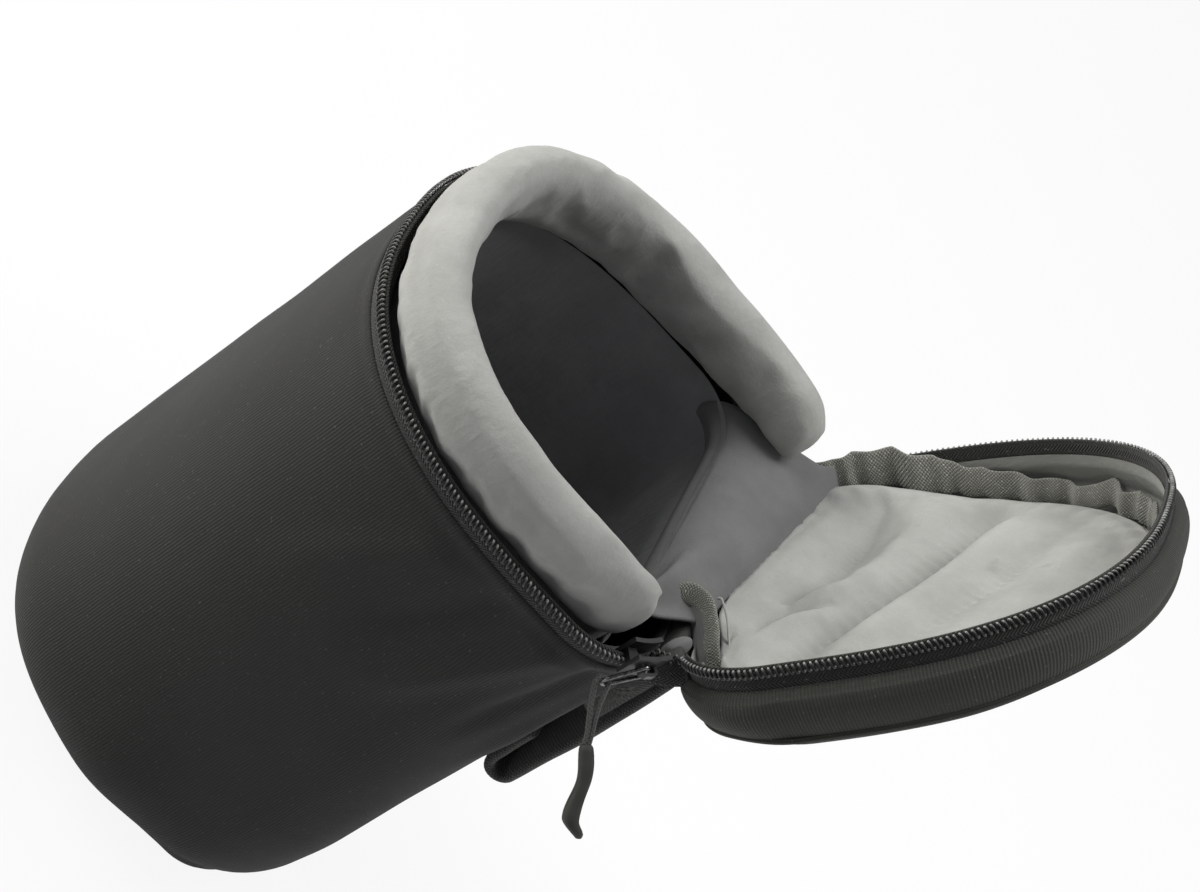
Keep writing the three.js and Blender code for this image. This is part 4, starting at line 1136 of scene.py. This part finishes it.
TAB_WIDTH, TAB_WALL, TAB_TOP, TAB_LOW = 44.0, 3.0, 141.5, 78.5
STRAP_Y = BACK + 15.0


def strap_section(line, wall, width, seed, soft=0.25):
    """A flat strap that follows a line of (y, z) down the back, with rounded edges."""
    cols, line = 30, np.asarray(line, float)
    t = unit(np.gradient(line, axis=0))
    half, radius = width / 2, wall / 2
    angle = np.linspace(-math.pi / 2, math.pi / 2, 7)
    end_x, end_off = half - radius + radius * np.cos(angle), radius * np.sin(angle)
    flat_x = np.linspace(half - radius, -half + radius, cols)[1:-1]
    flat_off = np.full(cols - 2, radius)
    x = np.r_[end_x, flat_x, -end_x, flat_x[::-1]]
    off = np.r_[end_off, flat_off, -end_off, -flat_off]
    pts = np.zeros((len(line), len(x), 3))
    pts[..., 0] = x
    pts[..., 1] = line[:, :1] - t[:, 1:] * off
    pts[..., 2] = line[:, 1:] + t[:, :1] * off
    pts[..., 1] += soft * wobble(pts * np.array([1, 0.2, 1]), 16, seed)
    return pts


def webbing_piece(name, section, body, node, mat="tab"):
    show(grid(name, section, mat, wrap_cols=True, caps="first last"), body, "tab_nylon", node)


def tab():
    y = STRAP_Y + TAB_WALL / 2
    fold, low = 3.5, TAB_LOW + 3.5 + TAB_WALL / 2 - 3.4
    line = [(y + 0.8 * math.sin(math.pi * k), TAB_TOP - 0.1 - (TAB_TOP - 0.1 - low) * k)
            for k in np.linspace(0, 1, 40)]
    line += [(y - fold + fold * math.cos(a), low - fold * math.sin(a))
             for a in np.linspace(0, math.pi, 14)[1:]]
    line += [(y - 2 * fold - 0.2, low + 17 * k) for k in np.linspace(0, 1, 10)[1:]]
    webbing_piece("strap_webbing", strap_section(line, 2.9, TAB_WIDTH, seed=71), "tab", "tab_strap")
    line = [(STRAP_Y - 7.3 - 0.5, z) for z in np.linspace(85.6, 94.4, 12)]
    hook = strap_section(line, 0.95, TAB_WIDTH - 6, seed=5, soft=0.0)
    webbing_piece("hook_patch", hook, "tab", "tab_hook_patch", mat="pile")
    line = [(BACK + 0.9, z) for z in np.linspace(141.7, 79.9, 40)]
    patch = strap_section(line, 1.15, TAB_WIDTH, seed=8, soft=0.1)
    webbing_piece("patch_webbing", patch, "pouch", "tab_patch")
    # The sewn head of the strap: webbing turned over twice, with two rows of stitches on the strap
    ring = [(39.9, 119.5), (41.5, 118.2), (46.0, 116.6), (49.2, 115.4), (50.6, 114.4), (52.3, 116.6),
            (52.6, 119.6), (52.6, 128), (52.6, 137), (52.0, 139.4), (50.0, 141.2), (45.0, 141.3),
            (40.6, 141.2), (39.9, 139.6), (39.9, 130)]
    loop = spline([(a, b, 0) for a, b in ring], 72, closed=True)[:, :2]
    middle = loop.mean(axis=0)
    x = np.r_[-21.95, -21.6, np.linspace(-20.8, 20.8, 34), 21.6, 21.95]
    keep = np.r_[0.94, 0.985, np.ones(34), 0.985, 0.94]
    pts = np.zeros((len(x), len(loop), 3))
    pts[..., 0] = x[:, None]
    pts[..., 1:] = middle + (loop[None] - middle) * keep[:, None, None]
    webbing_piece("strap_head", pts, "pouch", "tab_anchor")
    face = y + TAB_WALL / 2 + 0.3
    for k, z in enumerate((139.2, 121.5)):
        path = np.array([(x, face, z) for x in np.linspace(-20, 20, 40)])
        normals = np.tile((0, 1.0, 0), (len(path), 1))
        show(stitches(f"strap_stitch_{k}", path, normals), "tab", "tab_nylon")


# ---- Room, light and camera ----

WHITE = (1, 1, 1, 1)


def plain(name, level):
    """Pale matt surface that shows as white to the camera and keeps a faint shadow."""
    p = Paint(name, 0.9, specular=0.1)
    tone = p.mix(p.spots(300, 1, 0.3, 0.7, 0, 1), grey(level), grey(level + 3))
    p.fill(p.bsdf, {"Base Color": tone})
    glow = p.node("Emission", {"Color": WHITE, "Strength": 1.0})
    path = p.node("LightPath", {})
    seen = p.math("MAXIMUM", path.outputs["Is Camera Ray"], path.outputs["Is Glossy Ray"])
    seen = p.math("MAXIMUM", seen, path.outputs["Is Transmission Ray"])
    share = p.math("MULTIPLY", seen, 0.9)
    blend = p.node("MixShader", {0: share, 1: p.bsdf.outputs[0], 2: glow.outputs[0]})
    p.fill(p.tree.nodes["Material Output"], {"Surface": blend.outputs[0]})
    return p.mat


def room():
    """White floor and a dim sky that the camera sees as white."""
    M["floor"] = plain("floor_white", 238)
    size = 3000.0
    corners = [(-size, -size, 0), (size, -size, 0), (size, size, 0), (-size, size, 0)]
    make("floor", corners, [(0, 1, 2, 3)], "floor")
    world = bpy.data.worlds.new("studio")
    bpy.context.scene.world = world
    world.use_nodes = True
    studio = Nodes(world.node_tree)
    sky = studio.tree.nodes["Background"]
    studio.fill(sky, {"Color": (0.93, 0.97, 1.0, 1), "Strength": 0.17})
    white, path = studio.node("Background", {"Color": WHITE}), studio.node("LightPath", {})
    seen = studio.math("MAXIMUM", path.outputs["Is Camera Ray"], path.outputs["Is Transmission Ray"])
    mix = studio.node("MixShader", {0: seen, 1: sky.outputs[0], 2: white.outputs[0]})
    studio.fill(studio.tree.nodes["World Output"], {"Surface": mix.outputs[0]})


def lamp(name, place, target, size, power, colour=(1, 1, 1)):
    data = bpy.data.lights.new(name, "AREA")
    data.shape = "RECTANGLE"
    data.size, data.size_y = size[0] * MM, size[1] * MM
    data.energy, data.color = power, colour
    obj = add(name, data)
    obj.location = Vector(place) * MM
    aim = Vector(target) - Vector(place)
    obj.rotation_mode = "QUATERNION"
    obj.rotation_quaternion = aim.to_track_quat("-Z", "Y")


def camera():
    """Camera from the fit to the photograph: three unit vectors and its place in millimetres."""
    data = bpy.data.cameras.new("camera")
    data.sensor_width, data.lens = 36.0, 108.0
    data.clip_start, data.clip_end = 0.05, 50.0
    obj = add("camera", data)
    right = Vector((-0.31792, 0.65925, 0.6814))
    down = Vector((0.54092, 0.71637, -0.44071))
    forward = Vector((-0.77868, 0.22847, -0.58435))
    turn = Matrix((right, -down, -forward)).transposed().to_4x4()
    turn.translation = Vector((707.10, -209.84, 691.08)) * MM
    obj.matrix_world = turn
    bpy.context.scene.camera = obj


camera()
room()
lamp("key", place=(-150, -980, 300), target=(0, -10, 110), size=(620, 520), power=12.2,
     colour=(1.0, 0.985, 0.96))
lamp("top", place=(-120, 120, 900), target=(20, 30, 170), size=(460, 460), power=5.5)
lamp("fill", place=(700, -300, 500), target=(20, 20, 150), size=(500, 500), power=0.45,
     colour=(0.95, 0.98, 1.0))
lamp("back", place=(260, 900, 420), target=(0, 40, 140), size=(700, 500), power=1.7)
bpy.context.scene.view_settings.view_transform = "Standard"

body_shell()
base_cover()
inner_bag()
body_coil_edge, lid_coil_edge = PARTING - COIL_GAP / 2, PARTING + COIL_GAP / 2
zip_tape("body_tape_cloth", BODY_TAPE_LOW, body_coil_edge, 5.6, "pouch", "body_zip_tape")
zip_coil("body_coil_wound", body_coil_edge - COIL_HALF, "pouch", "body_zip_coil")
collar()
lid_wall()
lid_top()
lid_side()
lid_pad()
binding()
zip_tape("lid_tape_cloth", LID_LOW + 0.2, lid_coil_edge, 1.6, "lid", "lid_zip_tape")
zip_coil("lid_coil_wound", lid_coil_edge + COIL_HALF, "lid", "lid_zip_coil")
hinge_lining()
hinge_outside()
binding_end()
lining_tuck()
zip_tail()
slider()
wire()
cord()
grip()
tab()
